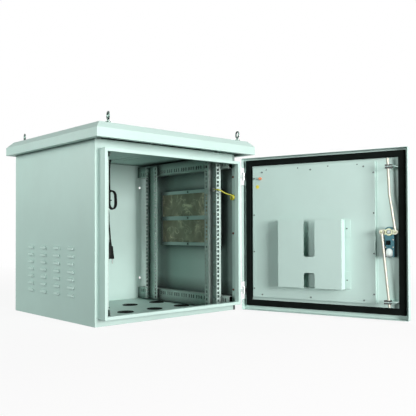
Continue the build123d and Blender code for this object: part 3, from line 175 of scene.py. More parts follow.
@dataclass(frozen=True)
class Finish:
    """One surface finish, made as a node material.

    Attributes:
        title: Name of the material.
        colour: Linear base colour.
        pattern: What kind of fine structure the surface has.
        roughness: Mean roughness.
        metallic: One for bare metal, nought for paint, rubber and plastic.
        shade: How far the colour varies, as a share of its brightness.
        shade_scale: Size of the broad variation, in cycles a metre.
        grain_scale: Size of the fine relief, in cycles a metre.
        relief: Height of the fine relief, in metres.
        specular: Specular level of the shader.
        fold: Radius that sharp edges seem rounded to, in metres.
        painted_gap_shade: Reach of the painted shade that darkens the colour in narrow gaps, in
            metres.
        gloss_spread: How far the roughness varies to each side.
        relief_strength: Share of the relief that shows.
    """

    title: str
    colour: Colour
    pattern: Pattern = Pattern.GRAIN
    roughness: float = 0.5
    metallic: float = 0.0
    shade: float = 0.05
    shade_scale: float = 6.0
    grain_scale: float = 900.0
    relief: float = 0.00005
    specular: float = 0.5
    fold: float = 0.0
    painted_gap_shade: float = 0.0
    gloss_spread: float = 0.06
    relief_strength: float = 0.6

    def build(self) -> bpy.types.Material:
        """Makes the material.

        Returns:
            The finished material.
        """
        material = bpy.data.materials.new(self.title)
        material.use_nodes = True
        material.diffuse_color = (*self.colour, 1.0)
        web = Web(material.node_tree)
        shader = material.node_tree.nodes["Principled BSDF"]
        shader.inputs["Metallic"].default_value = self.metallic
        shader.inputs["Specular IOR Level"].default_value = self.specular
        place = web.add("ShaderNodeTexCoord").outputs["Object"]
        broad = web.noise(place, self.shade_scale, detail=4.0)
        fine = self.fine(web, place)
        web.join(self.tone(web, broad, fine), shader.inputs["Base Color"])
        web.join(self.gloss(web, broad), shader.inputs["Roughness"])
        web.join(self.skin(web, fine), shader.inputs["Normal"])
        return material

    def fine(self, web: Web, place: Socket) -> Socket:
        """Adds the fine structure: cells for spangle, noise for the rest, creases on fibre.

        Args:
            web: The material's nodes.
            place: Object coordinates.

        Returns:
            The fine structure's value.
        """
        stretch = (1.0, 1.0, 0.04) if self.pattern is Pattern.BRUSHED else (1.0, 1.0, 1.0)
        mapping = web.add("ShaderNodeMapping", {"Scale": stretch})
        web.join(place, mapping.inputs["Vector"])
        drawn = mapping.outputs["Vector"]
        if self.pattern is Pattern.SPANGLE:
            cells = web.add("ShaderNodeTexVoronoi", {"Scale": self.grain_scale})
            web.join(drawn, cells.inputs["Vector"])
            return cells.outputs["Distance"]
        if self.pattern is Pattern.FIBRE:
            return self.creases(web, place, web.noise(drawn, self.grain_scale, detail=5.0))
        return web.noise(drawn, self.grain_scale, detail=2.0)

    def creases(self, web: Web, place: Socket, fibre: Socket) -> Socket:
        """Adds thin wandering creases where a broad noise crosses its middle.

        Args:
            web: The material's nodes.
            place: Object coordinates.
            fibre: The value of the fibres.

        Returns:
            The value of both together.
        """
        black, white = (0.0, 0.0, 0.0), (1.0, 1.0, 1.0)
        middle, half_width, strength = 0.5, 0.015, 0.75
        wander = web.noise(place, 11.0, detail=2.0, distortion=1.6)
        stops = [(middle - half_width, black), (middle, white), (middle + half_width, black)]
        return web.scaled_sum(web.ramp(wander, stops), strength, fibre)

    def tone(self, web: Web, broad: Socket, fine: Socket) -> Socket:
        """Makes the colour, darker and lighter with the broad and the fine structure, with painted
        shade in gaps where the finish has it.

        Args:
            web: The material's nodes.
            broad: The broad variation.
            fine: The fine structure.

        Returns:
            The colour.
        """
        shares = {Pattern.SPANGLE: 0.5, Pattern.FIBRE: 0.35, Pattern.BRUSHED: 0.3}
        level = web.scaled_sum(fine, shares.get(self.pattern, 0.08), broad)
        stops = [(0.3, self.shaded(1.0 - self.shade)), (0.7, self.shaded(1.0 + self.shade * 0.6))]
        if self.pattern is Pattern.FIBRE:
            stops[1:] = [(0.72, self.shaded(1.05)), (1.0, self.shaded(2.6))]
        colour = web.ramp(level, stops)
        return self.with_painted_gap_shade(web, colour) if self.painted_gap_shade else colour

    def with_painted_gap_shade(self, web: Web, colour: Socket) -> Socket:
        """Darkens a colour in narrow gaps with painted shade, by ambient occlusion.

        Args:
            web: The material's nodes.
            colour: The plain colour.

        Returns:
            The darkened colour.
        """
        # Ambient occlusion, raised to a power, multiplies the colour: painted shade in gaps.
        openness = web.add("ShaderNodeAmbientOcclusion", {"Distance": self.painted_gap_shade}, samples=6)
        curve = web.add("ShaderNodeMath", {1: 2.2}, operation="POWER")
        web.join(openness.outputs["AO"], curve.inputs[0])
        depth = web.add("ShaderNodeMix", {"Factor": 1.0}, data_type="RGBA", blend_type="MULTIPLY")
        web.join(colour, depth.inputs["A"])
        web.join(curve.outputs["Value"], depth.inputs["B"])
        return depth.outputs["Result"]

    def gloss(self, web: Web, broad: Socket) -> Socket:
        """Makes the roughness, which follows the broad variation.

        Args:
            web: The material's nodes.
            broad: The broad variation.

        Returns:
            The roughness.
        """
        low = max(0.05, self.roughness - self.gloss_spread)
        high = min(1.0, self.roughness + self.gloss_spread)
        span = web.add("ShaderNodeMapRange", {"To Min": low, "To Max": high})
        web.join(broad, span.inputs["Value"])
        return span.outputs["Result"]

    def skin(self, web: Web, fine: Socket) -> Socket:
        """Makes the fine relief, over edges that seem rounded where the finish has a fold.

        Args:
            web: The material's nodes.
            fine: The fine structure.

        Returns:
            The normal.
        """
        bump = web.add("ShaderNodeBump", {"Distance": self.relief, "Strength": self.relief_strength})
        web.join(fine, bump.inputs["Height"])
        if self.fold:
            edges = web.add("ShaderNodeBevel", {"Radius": self.fold}, samples=8)
            web.join(edges.outputs["Normal"], bump.inputs["Normal"])
        return bump.outputs["Normal"]

    def shaded(self, factor: float) -> Colour:
        """Scales the base colour.

        Args:
            factor: Multiplier of the brightness.

        Returns:
            The scaled colour, held under one.
        """
        red, green, blue = (min(1.0, channel * factor) for channel in self.colour)
        return (red, green, blue)


MINT_PAINT = Finish(
    "Mint powder coat", (0.465, 0.645, 0.59), roughness=0.42, specular=0.35, fold=0.0009
)
PLAIN_SCREW = Finish(
    "Grey screw", (0.15, 0.19, 0.18), roughness=0.35, metallic=0.7, shade=0.2, shade_scale=60.0
)


class Finishes(Enum):
    """The cabinet's finishes."""

    SHELL_PAINT = MINT_PAINT
    # Mint paint with painted shade in narrow gaps, for the inner walls, the ceiling and the filter
    # frames; it also darkens the right panel's outside near the floor.
    GAP_SHADED_PAINT = replace(MINT_PAINT, title="Mint powder coat, inside", specular=0.3, painted_gap_shade=0.06)
    # The rack coat darkens its gaps with painted shade too.
    RACK_COAT = Finish(
        "Pale rack coat", (0.42, 0.56, 0.51), roughness=0.45, specular=0.3,
        shade_scale=9.0, grain_scale=700.0, fold=0.0005, painted_gap_shade=0.03,
    )
    ZINC = Finish(
        "Zinc plate", (0.28, 0.32, 0.31), Pattern.SPANGLE, roughness=0.38, metallic=0.85,
        shade=0.12, shade_scale=12.0, grain_scale=160.0, relief=0.00002,
    )
    HINGE_ZINC = Finish(
        "Hinge zinc", (0.46, 0.52, 0.50), Pattern.SPANGLE, roughness=0.32, metallic=0.7,
        shade=0.1, shade_scale=20.0, grain_scale=200.0, relief=0.00002, fold=0.0005,
    )
    FORGED_EYE = Finish(
        "Drop-forged eye", (0.09, 0.13, 0.115), Pattern.SPANGLE, roughness=0.22, metallic=1.0,
        shade=0.35, shade_scale=45.0, grain_scale=120.0, relief=0.0001,
    )
    ROD_ZINC = Finish(
        "Drawn rod zinc", (0.36, 0.37, 0.31), Pattern.BRUSHED, roughness=0.42, metallic=0.5,
        shade=0.12, shade_scale=20.0, grain_scale=500.0, relief=0.00001,
    )
    LOCK_CASE = Finish(
        "Blue lock plating", (0.014, 0.036, 0.042), Pattern.SPANGLE, roughness=0.3, metallic=1.0,
        shade=0.45, shade_scale=55.0, grain_scale=140.0, relief=0.00006, fold=0.0006,
    )
    LOCK_CORE = Finish(
        "Grey lock casting", (0.36, 0.42, 0.40), Pattern.SPANGLE, roughness=0.4, metallic=0.6,
        shade=0.1, shade_scale=60.0, grain_scale=260.0, relief=0.00004,
    )
    YELLOW_ZINC = Finish(
        "Yellow zinc", (0.25, 0.27, 0.18), Pattern.SPANGLE, roughness=0.34, metallic=0.75,
        shade=0.18, shade_scale=40.0, grain_scale=240.0, relief=0.00002, fold=0.0005,
    )
    GREY_SCREW = PLAIN_SCREW
    DARK_SCREW = replace(
        PLAIN_SCREW, title="Dark screw", colour=(0.05, 0.075, 0.07), roughness=0.4, metallic=0.5
    )
    RUST_SCREW = replace(
        PLAIN_SCREW, title="Browned screw", colour=(0.20, 0.07, 0.045), roughness=0.5, metallic=0.4
    )
    BRIGHT_TIN = Finish(
        "Bright tin", (0.84, 0.82, 0.78), roughness=0.4, metallic=0.15, shade=0.1, shade_scale=60.0
    )
    COPPER = Finish(
        "Copper cap", (0.62, 0.25, 0.13), Pattern.BRUSHED, roughness=0.4, metallic=0.35,
        shade=0.1, shade_scale=60.0, grain_scale=600.0,
    )
    YELLOW_SPOT = Finish("Yellow spot", (0.72, 0.66, 0.05), shade_scale=60.0)
    GASKET_FOAM = Finish(
        "Gasket foam", (0.006, 0.009, 0.008), roughness=0.9, specular=0.04,
        shade=0.3, shade_scale=40.0, grain_scale=1800.0, relief=0.0001,
    )
    GROMMET = Finish(
        "Grommet rubber", (0.005, 0.007, 0.006), roughness=0.7, specular=0.1,
        shade=0.3, shade_scale=30.0, grain_scale=1200.0, relief=0.00006,
    )
    LEAD_SHEATH = Finish(
        "Lead sheath", (0.006, 0.008, 0.007), specular=0.15,
        shade=0.2, shade_scale=40.0, grain_scale=1500.0, relief=0.00003,
    )
    MOULDING = Finish(
        "Black moulding", (0.018, 0.020, 0.020), roughness=0.42,
        shade=0.2, shade_scale=30.0, grain_scale=1400.0, relief=0.00004, fold=0.0008,
    )
    EARTH_SLEEVE = Finish(
        "Earth sleeve", (0.40, 0.41, 0.03), roughness=0.45,
        shade=0.15, shade_scale=30.0, relief=0.00003,
    )
    MAT_FIBRE = Finish(
        "Filter fibre", (0.30, 0.315, 0.22), Pattern.FIBRE, roughness=0.7, specular=0.45,
        shade=0.35, shade_scale=22.0, grain_scale=420.0, relief=0.0010,
    )


NODE_FINISHES: dict[Finishes, tuple[str, ...]] = {
    Finishes.SHELL_PAINT: (
        "side_panel_left", "rear_panel", "floor_panel", "front_frame", "roof_hood",
        "door_shell", "door_liner", "document_pocket", "rod_guides",
    ),
    # These nodes carry painted shade in their gaps.
    Finishes.GAP_SHADED_PAINT: ("side_panel_right", "ceiling_panel", "filter_frames"),
    Finishes.RACK_COAT: (
        "rack_upright_front_left", "rack_upright_front_right", "rack_upright_rear_left",
        "rack_upright_rear_right", "depth_rails_lower", "depth_rails_upper",
    ),
    Finishes.ROD_ZINC: ("lock_rod_upper", "lock_rod_lower"),
    Finishes.LOCK_CASE: ("lock_body",),
    Finishes.LOCK_CORE: ("key_cylinder", "plug_pins"),
    Finishes.HINGE_ZINC: ("hinge_frame_leaves", "hinge_door_leaves", "hinge_pins"),
    Finishes.FORGED_EYE: ("lifting_eyes",),
    Finishes.YELLOW_ZINC: ("lock_cam", "cam_screw"),
    Finishes.COPPER: ("door_earth_stud",),
    Finishes.GASKET_FOAM: ("door_gasket",),
    Finishes.GROMMET: ("cable_grommets",),
    Finishes.LEAD_SHEATH: ("lead_gland", "mains_plug"),
    Finishes.MOULDING: (
        "fan_housing_left", "fan_housing_right", "fan_rotor_left", "fan_rotor_right",
        "handle_escutcheon", "swing_lever", "rod_bushes",
    ),
}


class FinishShelf:
    """Makes each finish once and hands it out."""

    def __init__(self) -> None:
        """Starts with no material made."""
        self.made: dict[Finishes, bpy.types.Material] = {}

    def get(self, finish: Finishes) -> bpy.types.Material:
        """Gives the material of a finish.

        Args:
            finish: The finish wanted.

        Returns:
            Its material, made at the first call.
        """
        if finish not in self.made:
            self.made[finish] = finish.value.build()
        return self.made[finish]

    def coat(self, piece: Piece, finish: Finishes) -> None:
        """Gives a piece one finish all over.

        Args:
            piece: The object to dress.
            finish: Its finish.
        """
        piece.data.materials.clear()
        piece.data.materials.append(self.get(finish))

    def fit(self, piece: Piece, finish: Finishes, slot: str, body: str, *stands_for: str) -> None:
        """Finishes a new piece, and says where it belongs in the frame.

        Args:
            piece: The new piece.
            finish: Its finish.
            slot: The record's material slot; not used.
            body: The body that it rides on.
            stands_for: The CAD nodes that it replaces.
        """
        self.coat(piece, finish)
        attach(piece, body)
        if stands_for:
            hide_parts(*stands_for)


class Bench:
    """The hand steps that the pieces are shaped with."""

    @staticmethod
    def clear() -> None:
        """Deselects everything."""
        bpy.ops.object.select_all(action="DESELECT")

    @staticmethod
    def take(item: Piece) -> None:
        """Selects a piece and makes it the active one."""
        bpy.context.view_layer.objects.active = item
        item.select_set(True)

    @staticmethod
    def turned(name: str, profile: Sequence[Place], sides: int = 24, smooth: float = 0.0) -> Piece:
        """Turns a round piece by pulling a disc up ring by ring.

        Args:
            name: Name of the new object.
            profile: Pairs of radius and height, from the foot up.
            sides: Number of sides of the round.
            smooth: Angle under which its faces are shaded smooth, in degrees, or nought.

        Returns:
            The closed piece, on its own Z axis.
        """
        Bench.clear()
        radius, height = profile[0]
        bpy.ops.mesh.primitive_circle_add(
            vertices=sides, radius=radius, fill_type="NGON", location=(0.0, 0.0, height)
        )
        item = bpy.context.object
        item.name = name
        bpy.ops.object.transform_apply(location=True)
        bpy.ops.object.mode_set(mode="EDIT")
        bpy.ops.mesh.select_all(action="SELECT")
        for next_radius, next_height in profile[1:]:
            bpy.ops.mesh.extrude_region_move(
                TRANSFORM_OT_translate={"value": (0.0, 0.0, next_height - height)}
            )
            factor = next_radius / radius
            bpy.ops.transform.resize(
                value=(factor, factor, 1.0), center_override=(0.0, 0.0, next_height)
            )
            radius, height = next_radius, next_height
        Bench.face_out()
        Bench.close()
        if smooth:
            Bench.smooth(item, smooth)
        return item

    @staticmethod
    def block(name: str, low: Point, high: Point) -> Piece:
        """Adds a box between two corners.

        Args:
            name: Name of the new object.
            low: Its lowest corner.
            high: Its highest corner.

        Returns:
            The box.
        """
        Bench.clear()
        centre = [(a + b) / 2 for a, b in zip(low, high)]
        bpy.ops.mesh.primitive_cube_add(size=1.0, location=centre)
        item = bpy.context.object
        item.name = name
        item.scale = [b - a for a, b in zip(low, high)]
        bpy.ops.object.transform_apply(location=True, scale=True)
        return item

    @staticmethod
    def edges(item: Piece, test: Callable[[Vector, Vector], bool]) -> None:
        """Opens a piece for editing with some of its edges selected.

        Args:
            item: The piece.
            test: Says from an edge's two ends whether it is selected.
        """
        shape = Bench.open(item, "EDGE")
        for edge in shape.edges:
            edge.select_set(test(edge.verts[0].co, edge.verts[1].co))
        bmesh.update_edit_mesh(item.data)

    @staticmethod
    def faces(item: Piece, test: Callable[[Vector, Vector], bool]) -> None:
        """Opens a piece for editing with some of its faces selected.

        Args:
            item: The piece.
            test: Says from a face's middle and normal whether it is selected.
        """
        shape = Bench.open(item, "FACE")
        shape.normal_update()
        for face in shape.faces:
            face.select_set(test(face.calc_center_median(), face.normal))
        bmesh.update_edit_mesh(item.data)

    @staticmethod
    def open(item: Piece, kind: str) -> bmesh.types.BMesh:
        """Opens a piece for editing with nothing selected.

        Args:
            item: The piece.
            kind: What is to be selected: VERT, EDGE or FACE.

        Returns:
            The mesh under edit.
        """
        Bench.take(item)
        bpy.ops.object.mode_set(mode="EDIT")
        bpy.ops.mesh.select_mode(type=kind)
        bpy.ops.mesh.select_all(action="DESELECT")
        return bmesh.from_edit_mesh(item.data)

    @staticmethod
    def face_out() -> None:
        """Turns all faces of the piece under edit outwards."""
        bpy.ops.mesh.select_all(action="SELECT")
        bpy.ops.mesh.normals_make_consistent(inside=False)

    @staticmethod
    def close() -> None:
        """Leaves edit mode."""
        bpy.ops.object.mode_set(mode="OBJECT")

    @staticmethod
    def cut_away(item: Piece, cutters: Sequence[Piece]) -> None:
        """Cuts tools' shapes out of a piece and discards the tools.

        Args:
            item: The piece.
            cutters: The shapes that are cut away.
        """
        for cutter in cutters:
            modifier = item.modifiers.new("Cut", "BOOLEAN")
            modifier.operation = "DIFFERENCE"
            modifier.object = cutter
            Bench.apply(item, modifier)
            bpy.data.objects.remove(cutter)

    @staticmethod
    def apply(item: Piece, modifier: bpy.types.Modifier) -> None:
        """Applies a modifier to a piece.

        Args:
            item: The piece.
            modifier: The modifier on it.
        """
        Bench.clear()
        Bench.take(item)
        bpy.ops.object.modifier_apply(modifier=modifier.name)

    @staticmethod
    def smooth(item: Piece, degrees: float = 35.0) -> None:
        """Shades a piece smooth where its faces meet at less than an angle.

        Args:
            item: The piece.
            degrees: The angle.
        """
        Bench.clear()
        Bench.take(item)
        bpy.ops.object.shade_smooth_by_angle(angle=math.radians(degrees))

    @staticmethod
    def joined(pieces: Sequence[Piece], name: str) -> Piece:
        """Joins pieces into the first of them.

        Args:
            pieces: The pieces.
            name: Name of the joined piece.

        Returns:
            The joined piece.
        """
        Bench.clear()
        for piece in pieces:
            piece.select_set(True)
        Bench.take(pieces[0])
        bpy.ops.object.join()
        pieces[0].name = name
        return pieces[0]

    @staticmethod
    def repeat(item: Piece, name: str, places: Sequence[Matrix]) -> Piece:
        """Copies a model to several places and joins the copies.

        Args:
            item: The model, discarded afterwards.
            name: Name of the joined piece.
            places: Where each copy goes.

        Returns:
            The joined piece.
        """
        copies = []
        for place in places:
            copy = item.copy()
            copy.data = item.data.copy()
            copy.data.transform(place)
            bpy.context.scene.collection.objects.link(copy)
            copies.append(copy)
        bpy.data.objects.remove(item)
        return Bench.joined(copies, name)


@dataclass(frozen=True)
class DoorFace:
    """The open door's own axes: along it from the hinge, up, and out of its inner face.

    Attributes:
        pin: The hinge pin's X and Y, in metres.
        corner: X and Y of the closed door's hinge corner, in metres.
        swing: How far the door stands open, in degrees.
        liner: Millimetres from the outer skin's back to the inner panel's face.
    """

    pin: Place = (0.2926, -0.3192)
    corner: Place = (0.2940, -0.3295)
    swing: float = 105.7
    liner: float = 13.5

    def at(self, along: float, up: float, out: float) -> Matrix:
        """Gives a place on the door.

        Args:
            along: Millimetres from the hinge edge.
            up: Millimetres above the cabinet's foot.
            out: Millimetres out of the outer skin's back.

        Returns:
            A frame whose X runs along the door, Y up and Z out of the inner face.
        """
        turn = math.radians(self.swing)
        run = Vector((-math.cos(turn), -math.sin(turn), 0.0))
        face = Vector((-math.sin(turn), math.cos(turn), 0.0))
        arm = Vector((self.corner[0] - self.pin[0], self.corner[1] - self.pin[1], 0.0))
        arm = Matrix.Rotation(turn, 3, "Z") @ arm
        origin = Vector((self.pin[0], self.pin[1], 0.0)) + arm + run * along * MM + face * out * MM
        rotation = Matrix((run, Vector((0.0, 0.0, 1.0)), face)).transposed().to_4x4()
        return Matrix.Translation(origin + Vector((0.0, 0.0, up * MM))) @ rotation


@dataclass(frozen=True)
class ScrewHead:
    """A pan head with a cross recess.

    Attributes:
        radius: Radius of the head, in metres.
        height: Height of the head, in metres.
        slot: Half the width of a recess arm, as a share of the radius.
        reach: How far a recess arm reaches, as a share of the radius.
        floor: Height of the recess floor, as a share of the height.
    """

    radius: float
    height: float
    slot: float = 0.16
    reach: float = 0.62
    floor: float = 0.45

    def model(self, name: str) -> Piece:
        """Models the head on its own axis.

        Args:
            name: Name of the new object.

        Returns:
            The head, sitting on the plane Z = 0.
        """
        shares = ((1.0, 0.0), (1.0, 0.35), (0.92, 0.72), (0.70, 0.93), (0.35, 1.0))
        item = Bench.turned(name, [(self.radius * r, self.height * h) for r, h in shares])
        slot, reach = self.radius * self.slot, self.radius * self.reach
        cutters = [
            Bench.block("slot", (-a, -b, self.height * self.floor), (a, b, self.height * 1.5))
            for a, b in ((slot, reach), (reach, slot))
        ]
        Bench.cut_away(item, cutters)
        Bench.smooth(item)
        return item


@dataclass
class PanelScrews:
    """The screws of the door's inner panel and its pocket, and the rivets beside them.

    Panel and pocket are given by their left, right, low and high edge along and up the door,
    in millimetres. The gaps are those from an edge to the screws beside it: the left and right
    one, the low and high one, and the first and last row of the sides.
    """

    panel: tuple[float, float, float, float] = (41.0, 482.0, 53.0, 508.0)
    pocket: tuple[float, float, float, float] = (154.0, 381.0, 95.0, 322.5)
    dark: tuple[int, ...] = (1, 2, 5, 6)
    head: ScrewHead = ScrewHead(0.0030, 0.0018)
    small_head: ScrewHead = ScrewHead(0.00255, 0.0018)
    side_gaps: Place = (5.0, 4.0)
    end_gaps: Place = (9.0, 16.0)
    row_gaps: Place = (30.0, 37.0)
    column_gap: float = 37.0
    pocket_skin: float = 1.2
    tab_reach: float = 8.0
    tab_share: float = 0.25
    tab_gaps: Place = (1.0, 1.5)
    rivet_shares: tuple[float, ...] = (0.122, 0.395, 0.642, 0.869)
    rivet_drop: float = 8.0

    def panel_places(self) -> list[Place]:
        """Gives the places of the inner panel's screws, four up each side and three on each end.

        Returns:
            The places along and up the door, in millimetres.
        """
        left, right, low, high = self.panel
        step = (high - low - sum(self.row_gaps)) / 3
        rows = [low + self.row_gaps[0] + index * step for index in range(4)]
        edges = (left + self.side_gaps[0], right - self.side_gaps[1])
        columns = (left + self.column_gap, (left + right) / 2, right - self.column_gap)
        ends = (low + self.end_gaps[0], high - self.end_gaps[1])
        return [(s, z) for s in edges for z in rows] + [(s, z) for s in columns for z in ends]

    def pocket_places(self) -> list[Place]:
        """Gives the places of the pocket's screws, one in each of its four tabs.

        Returns:
            The places along and up the door, in millimetres.
        """
        left, right, low, high = self.pocket
        half_tab = self.tab_share * (high - low) / 2
        rows = (low + self.tab_gaps[0] + half_tab, high - self.tab_gaps[1] - half_tab)
        return [(s, z) for s in (left - self.tab_reach, right + self.tab_reach) for z in rows]

    def build(self, shelf: FinishShelf) -> None:
        """Makes the screws and the rivets.

        Args:
            shelf: The finishes.
        """
        door = DoorFace()
        places = self.panel_places()
        dark = [place for index, place in enumerate(places) if index in self.dark]
        grey = [place for place in places if place not in dark]
        on_pocket = door.liner + self.pocket_skin
        for name, places, face, finish, head in (
            ("liner_screws_grey", grey, door.liner, Finishes.GREY_SCREW, self.head),
            ("liner_screws_dark", dark, door.liner, Finishes.DARK_SCREW, self.small_head),
            ("pocket_screws", self.pocket_places(), on_pocket, Finishes.GREY_SCREW, self.small_head),
        ):
            model = head.model("screw_model")
            piece = Bench.repeat(model, name, [door.at(s, z, face) for s, z in places])
            shelf.fit(piece, finish, "zinc", DOOR, "door_panel_screws")
        left, right, _, high = self.panel
        profile = ((0.0020, 0.0), (0.0020, 0.0004), (0.0015, 0.0008), (0.0006, 0.0010))
        model = Bench.turned("rivet_model", profile, 16, smooth=35.0)
        spots = [
            door.at(left + share * (right - left), high - self.rivet_drop, door.liner)
            for share in self.rivet_shares
        ]
        rivets = Bench.repeat(model, "liner_rivets", spots)
        shelf.fit(rivets, Finishes.DARK_SCREW, "zinc", DOOR, "door_panel_screws")


@dataclass
class CabinetScrews:
    """The browned screws inside the raised frame and those of the filter frames."""

    frame_head: ScrewHead = ScrewHead(0.0040, 0.0030)
    filter_head: ScrewHead = ScrewHead(0.0034, 0.0022)
    frame_margin: float = 4.0
    filters: tuple[tuple[int, float, float], ...] = ((-1, 7.5, 159.0), (1, -33.0, 337.5))
    filter_face: float = 268.5
    filter_along: float = 168.5
    filter_up: float = 101.5

    def facing(self, side: int, across: float, along: float, up: float) -> Matrix:
        """Gives a frame whose Z points to the cabinet's middle.

        Args:
            side: One on the right wall, minus one on the left.
            across: Distance from the middle plane, in millimetres.
            along: Place along Y, in millimetres.
            up: Place along Z, in millimetres.

        Returns:
            The frame.
        """
        turn = Matrix.Rotation(math.radians(-90.0 * side), 4, "Y")
        return Matrix.Translation((side * across * MM, along * MM, up * MM)) @ turn

    def build(self, shelf: FinishShelf) -> None:
        """Makes both sets of screws.

        Args:
            shelf: The finishes.
        """
        low, high = ([value / MM for value in corner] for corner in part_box("frame_screws"))
        rows = (low[2] + self.frame_margin, (low[2] + high[2]) / 2, high[2] - self.frame_margin)
        places = [
            self.facing(side, high[0], (low[1] + high[1]) / 2, z) for side in (-1, 1) for z in rows
        ]
        piece = Bench.repeat(self.frame_head.model("screw_model"), "frame_screw_heads", places)
        shelf.fit(piece, Finishes.RUST_SCREW, "red_screw", CABINET, "frame_screws")
        places = []
        for side, y, z in self.filters:
            middles = [(y, z + rise) for rise in (-self.filter_up, 0.0, self.filter_up)]
            middles += [(y + run, z) for run in (-self.filter_along, self.filter_along)]
            places += [self.facing(side, self.filter_face, *middle) for middle in middles]
        piece = Bench.repeat(self.filter_head.model("screw_model"), "filter_screw_heads", places)
        shelf.fit(piece, Finishes.DARK_SCREW, "zinc", CABINET, "filter_screws")


@dataclass
class DoorSeal:
    """The foam gasket round the door's inner face, in millimetres on the door."""

    along: Place = (12.0, 576.0)
    up: Place = (21.0, 537.0)
    width: float = 20.5
    seat: float = 1.5
    top: float = 14.2
    crown: float = 3.2

    def build(self, shelf: FinishShelf) -> None:
        """Makes the gasket.

        Args:
            shelf: The finishes.
        """
        left, right = (value * MM for value in self.along)
        low, high = (value * MM for value in self.up)
        height = (self.top - self.seat) * MM
        Bench.clear()
        middle = ((left + right) / 2, (low + high) / 2, 0.0)
        bpy.ops.mesh.primitive_plane_add(size=1.0, location=middle)
        seal = bpy.context.object
        seal.name = "door_seal"
        seal.scale = (right - left, high - low, 1.0)
        bpy.ops.object.transform_apply(location=True, scale=True)
        bpy.ops.object.mode_set(mode="EDIT")
        bpy.ops.mesh.select_all(action="SELECT")
        bpy.ops.mesh.inset(thickness=self.width * MM, depth=0.0)
        bpy.ops.mesh.delete(type="FACE")
        bpy.ops.mesh.select_all(action="SELECT")
        bpy.ops.mesh.extrude_region_move(TRANSFORM_OT_translate={"value": (0.0, 0.0, height)})
        Bench.face_out()
        Bench.close()

        def rim(a: Vector, b: Vector) -> bool:
            """Tells the top edges that run straight along a side."""
            level = min(a.z, b.z) > height / 2
            return level and min(abs(a.x - b.x), abs(a.y - b.y)) < 1e-6

        Bench.edges(seal, rim)
        bpy.ops.mesh.bevel(offset=self.crown * MM, segments=4, affect="EDGES")
        Bench.close()
        Bench.smooth(seal, 50.0)
        seal.data.transform(DoorFace().at(0.0, 0.0, self.seat))
        shelf.fit(seal, Finishes.GASKET_FOAM, "black_rubber", DOOR, "door_gasket")


@dataclass
class Grommets:
    """The closed rubber grommets in the floor's cable entries, in millimetres."""

    centre: Place = (24.0, 18.0)
    pitch: Place = (126.0, 158.0)
    counts: tuple[int, int] = (4, 2)
    floor: float = 1.5
    profile: tuple[Place, ...] = (
        (24.9, -1.2), (24.9, 0.05), (29.0, 0.1), (29.0, 1.2), (28.2, 2.0), (25.6, 2.0),
        (24.4, 1.0), (18.0, 0.7), (17.2, 1.3), (15.8, 1.3), (15.0, 0.6), (7.0, 0.4),
        (6.2, 1.2), (1.0, 1.4),
    )

    def build(self, shelf: FinishShelf) -> None:
        """Makes the grommets.

        Args:
            shelf: The finishes.
        """
        profile = [(radius * MM, height * MM) for radius, height in self.profile]
        model = Bench.turned("grommet_model", profile, 48, smooth=50.0)
        columns, rows = (
            [(middle + (index - (count - 1) / 2) * pitch) * MM for index in range(count)]
            for middle, pitch, count in zip(self.centre, self.pitch, self.counts)
        )
        places = [Matrix.Translation((x, y, self.floor * MM)) for x in columns for y in rows]
        piece = Bench.repeat(model, "grommet_membranes", places)
        shelf.fit(piece, Finishes.GROMMET, "black_rubber", CABINET, "cable_grommets")


@dataclass
class FilterMats:
    """The creased fibre mats that lie behind the windows of the filter frames."""

    width: float = 345.2
    height: float = 99.0
    face: float = 270.7
    depth: float = 4.0
    thickness: float = 0.0012
    slide: Place = (0.7, 0.31)
    windows: tuple[tuple[int, float, float], ...] = (
        (-1, 7.5, 107.5), (-1, 7.5, 210.5), (1, -33.0, 286.0), (1, -33.0, 389.0),
    )

    def swells(self) -> list[tuple[bpy.types.Texture, float]]:
        """Makes the textures that crease a mat.

        Returns:
            Pairs of a texture and the height of its creases, in metres.
        """
        swell = bpy.data.textures.new("mat_clouds", "CLOUDS")
        swell.noise_scale = 0.06
        folds = bpy.data.textures.new("mat_voronoi", "VORONOI")
        folds.noise_scale = 0.035
        folds.distance_metric = "DISTANCE"
        folds.weight_1 = -1.0
        folds.weight_2 = 1.0
        return [(swell, 0.0026), (folds, -0.0030)]

    def mat(self, index: int, swells: Sequence[tuple[bpy.types.Texture, float]]) -> Piece:
        """Models one mat, flat and about the origin.

        Args:
            index: Which of the mats it is.
            swells: The textures that crease it, with their heights.

        Returns:
            The mat.
        """
        Bench.clear()
        bpy.ops.mesh.primitive_grid_add(x_subdivisions=150, y_subdivisions=46, size=1.0)
        mat = bpy.context.object
        mat.name = f"filter_mat_{index + 1}"
        mat.scale = (self.width * MM, self.height * MM, 1.0)
        slid = Vector((index * self.slide[0], index * self.slide[1], 0.0))
        mat.location = slid
        bpy.ops.object.transform_apply(location=True, scale=True)
        for texture, strength in swells:
            modifier = mat.modifiers.new("Crease", "DISPLACE")
            modifier.texture = texture
            modifier.texture_coords = "LOCAL"
            modifier.direction = "Z"
            modifier.mid_level = 0.5
            modifier.strength = strength
            Bench.apply(mat, modifier)
        mat.data.transform(Matrix.Translation(-slid))
        modifier = mat.modifiers.new("Thickness", "SOLIDIFY")
        modifier.thickness = self.thickness
        modifier.offset = -1.0
        Bench.apply(mat, modifier)
        Bench.smooth(mat, 60.0)
        return mat

    def build(self, shelf: FinishShelf) -> None:
        """Makes the mats.

        Args:
            shelf: The finishes.
        """
        swells = self.swells()
        for index, (side, y, z) in enumerate(self.windows):
            mat = self.mat(index, swells)
            turn = Matrix(((0.0, 0.0, -side), (-side, 0.0, 0.0), (0.0, 1.0, 0.0))).to_4x4()
            spot = Matrix.Translation((side * (self.face + self.depth) * MM, y * MM, z * MM))
            mat.data.transform(spot @ turn)
            shelf.fit(mat, Finishes.MAT_FIBRE, "filter_mat", CABINET, "filter_mats")


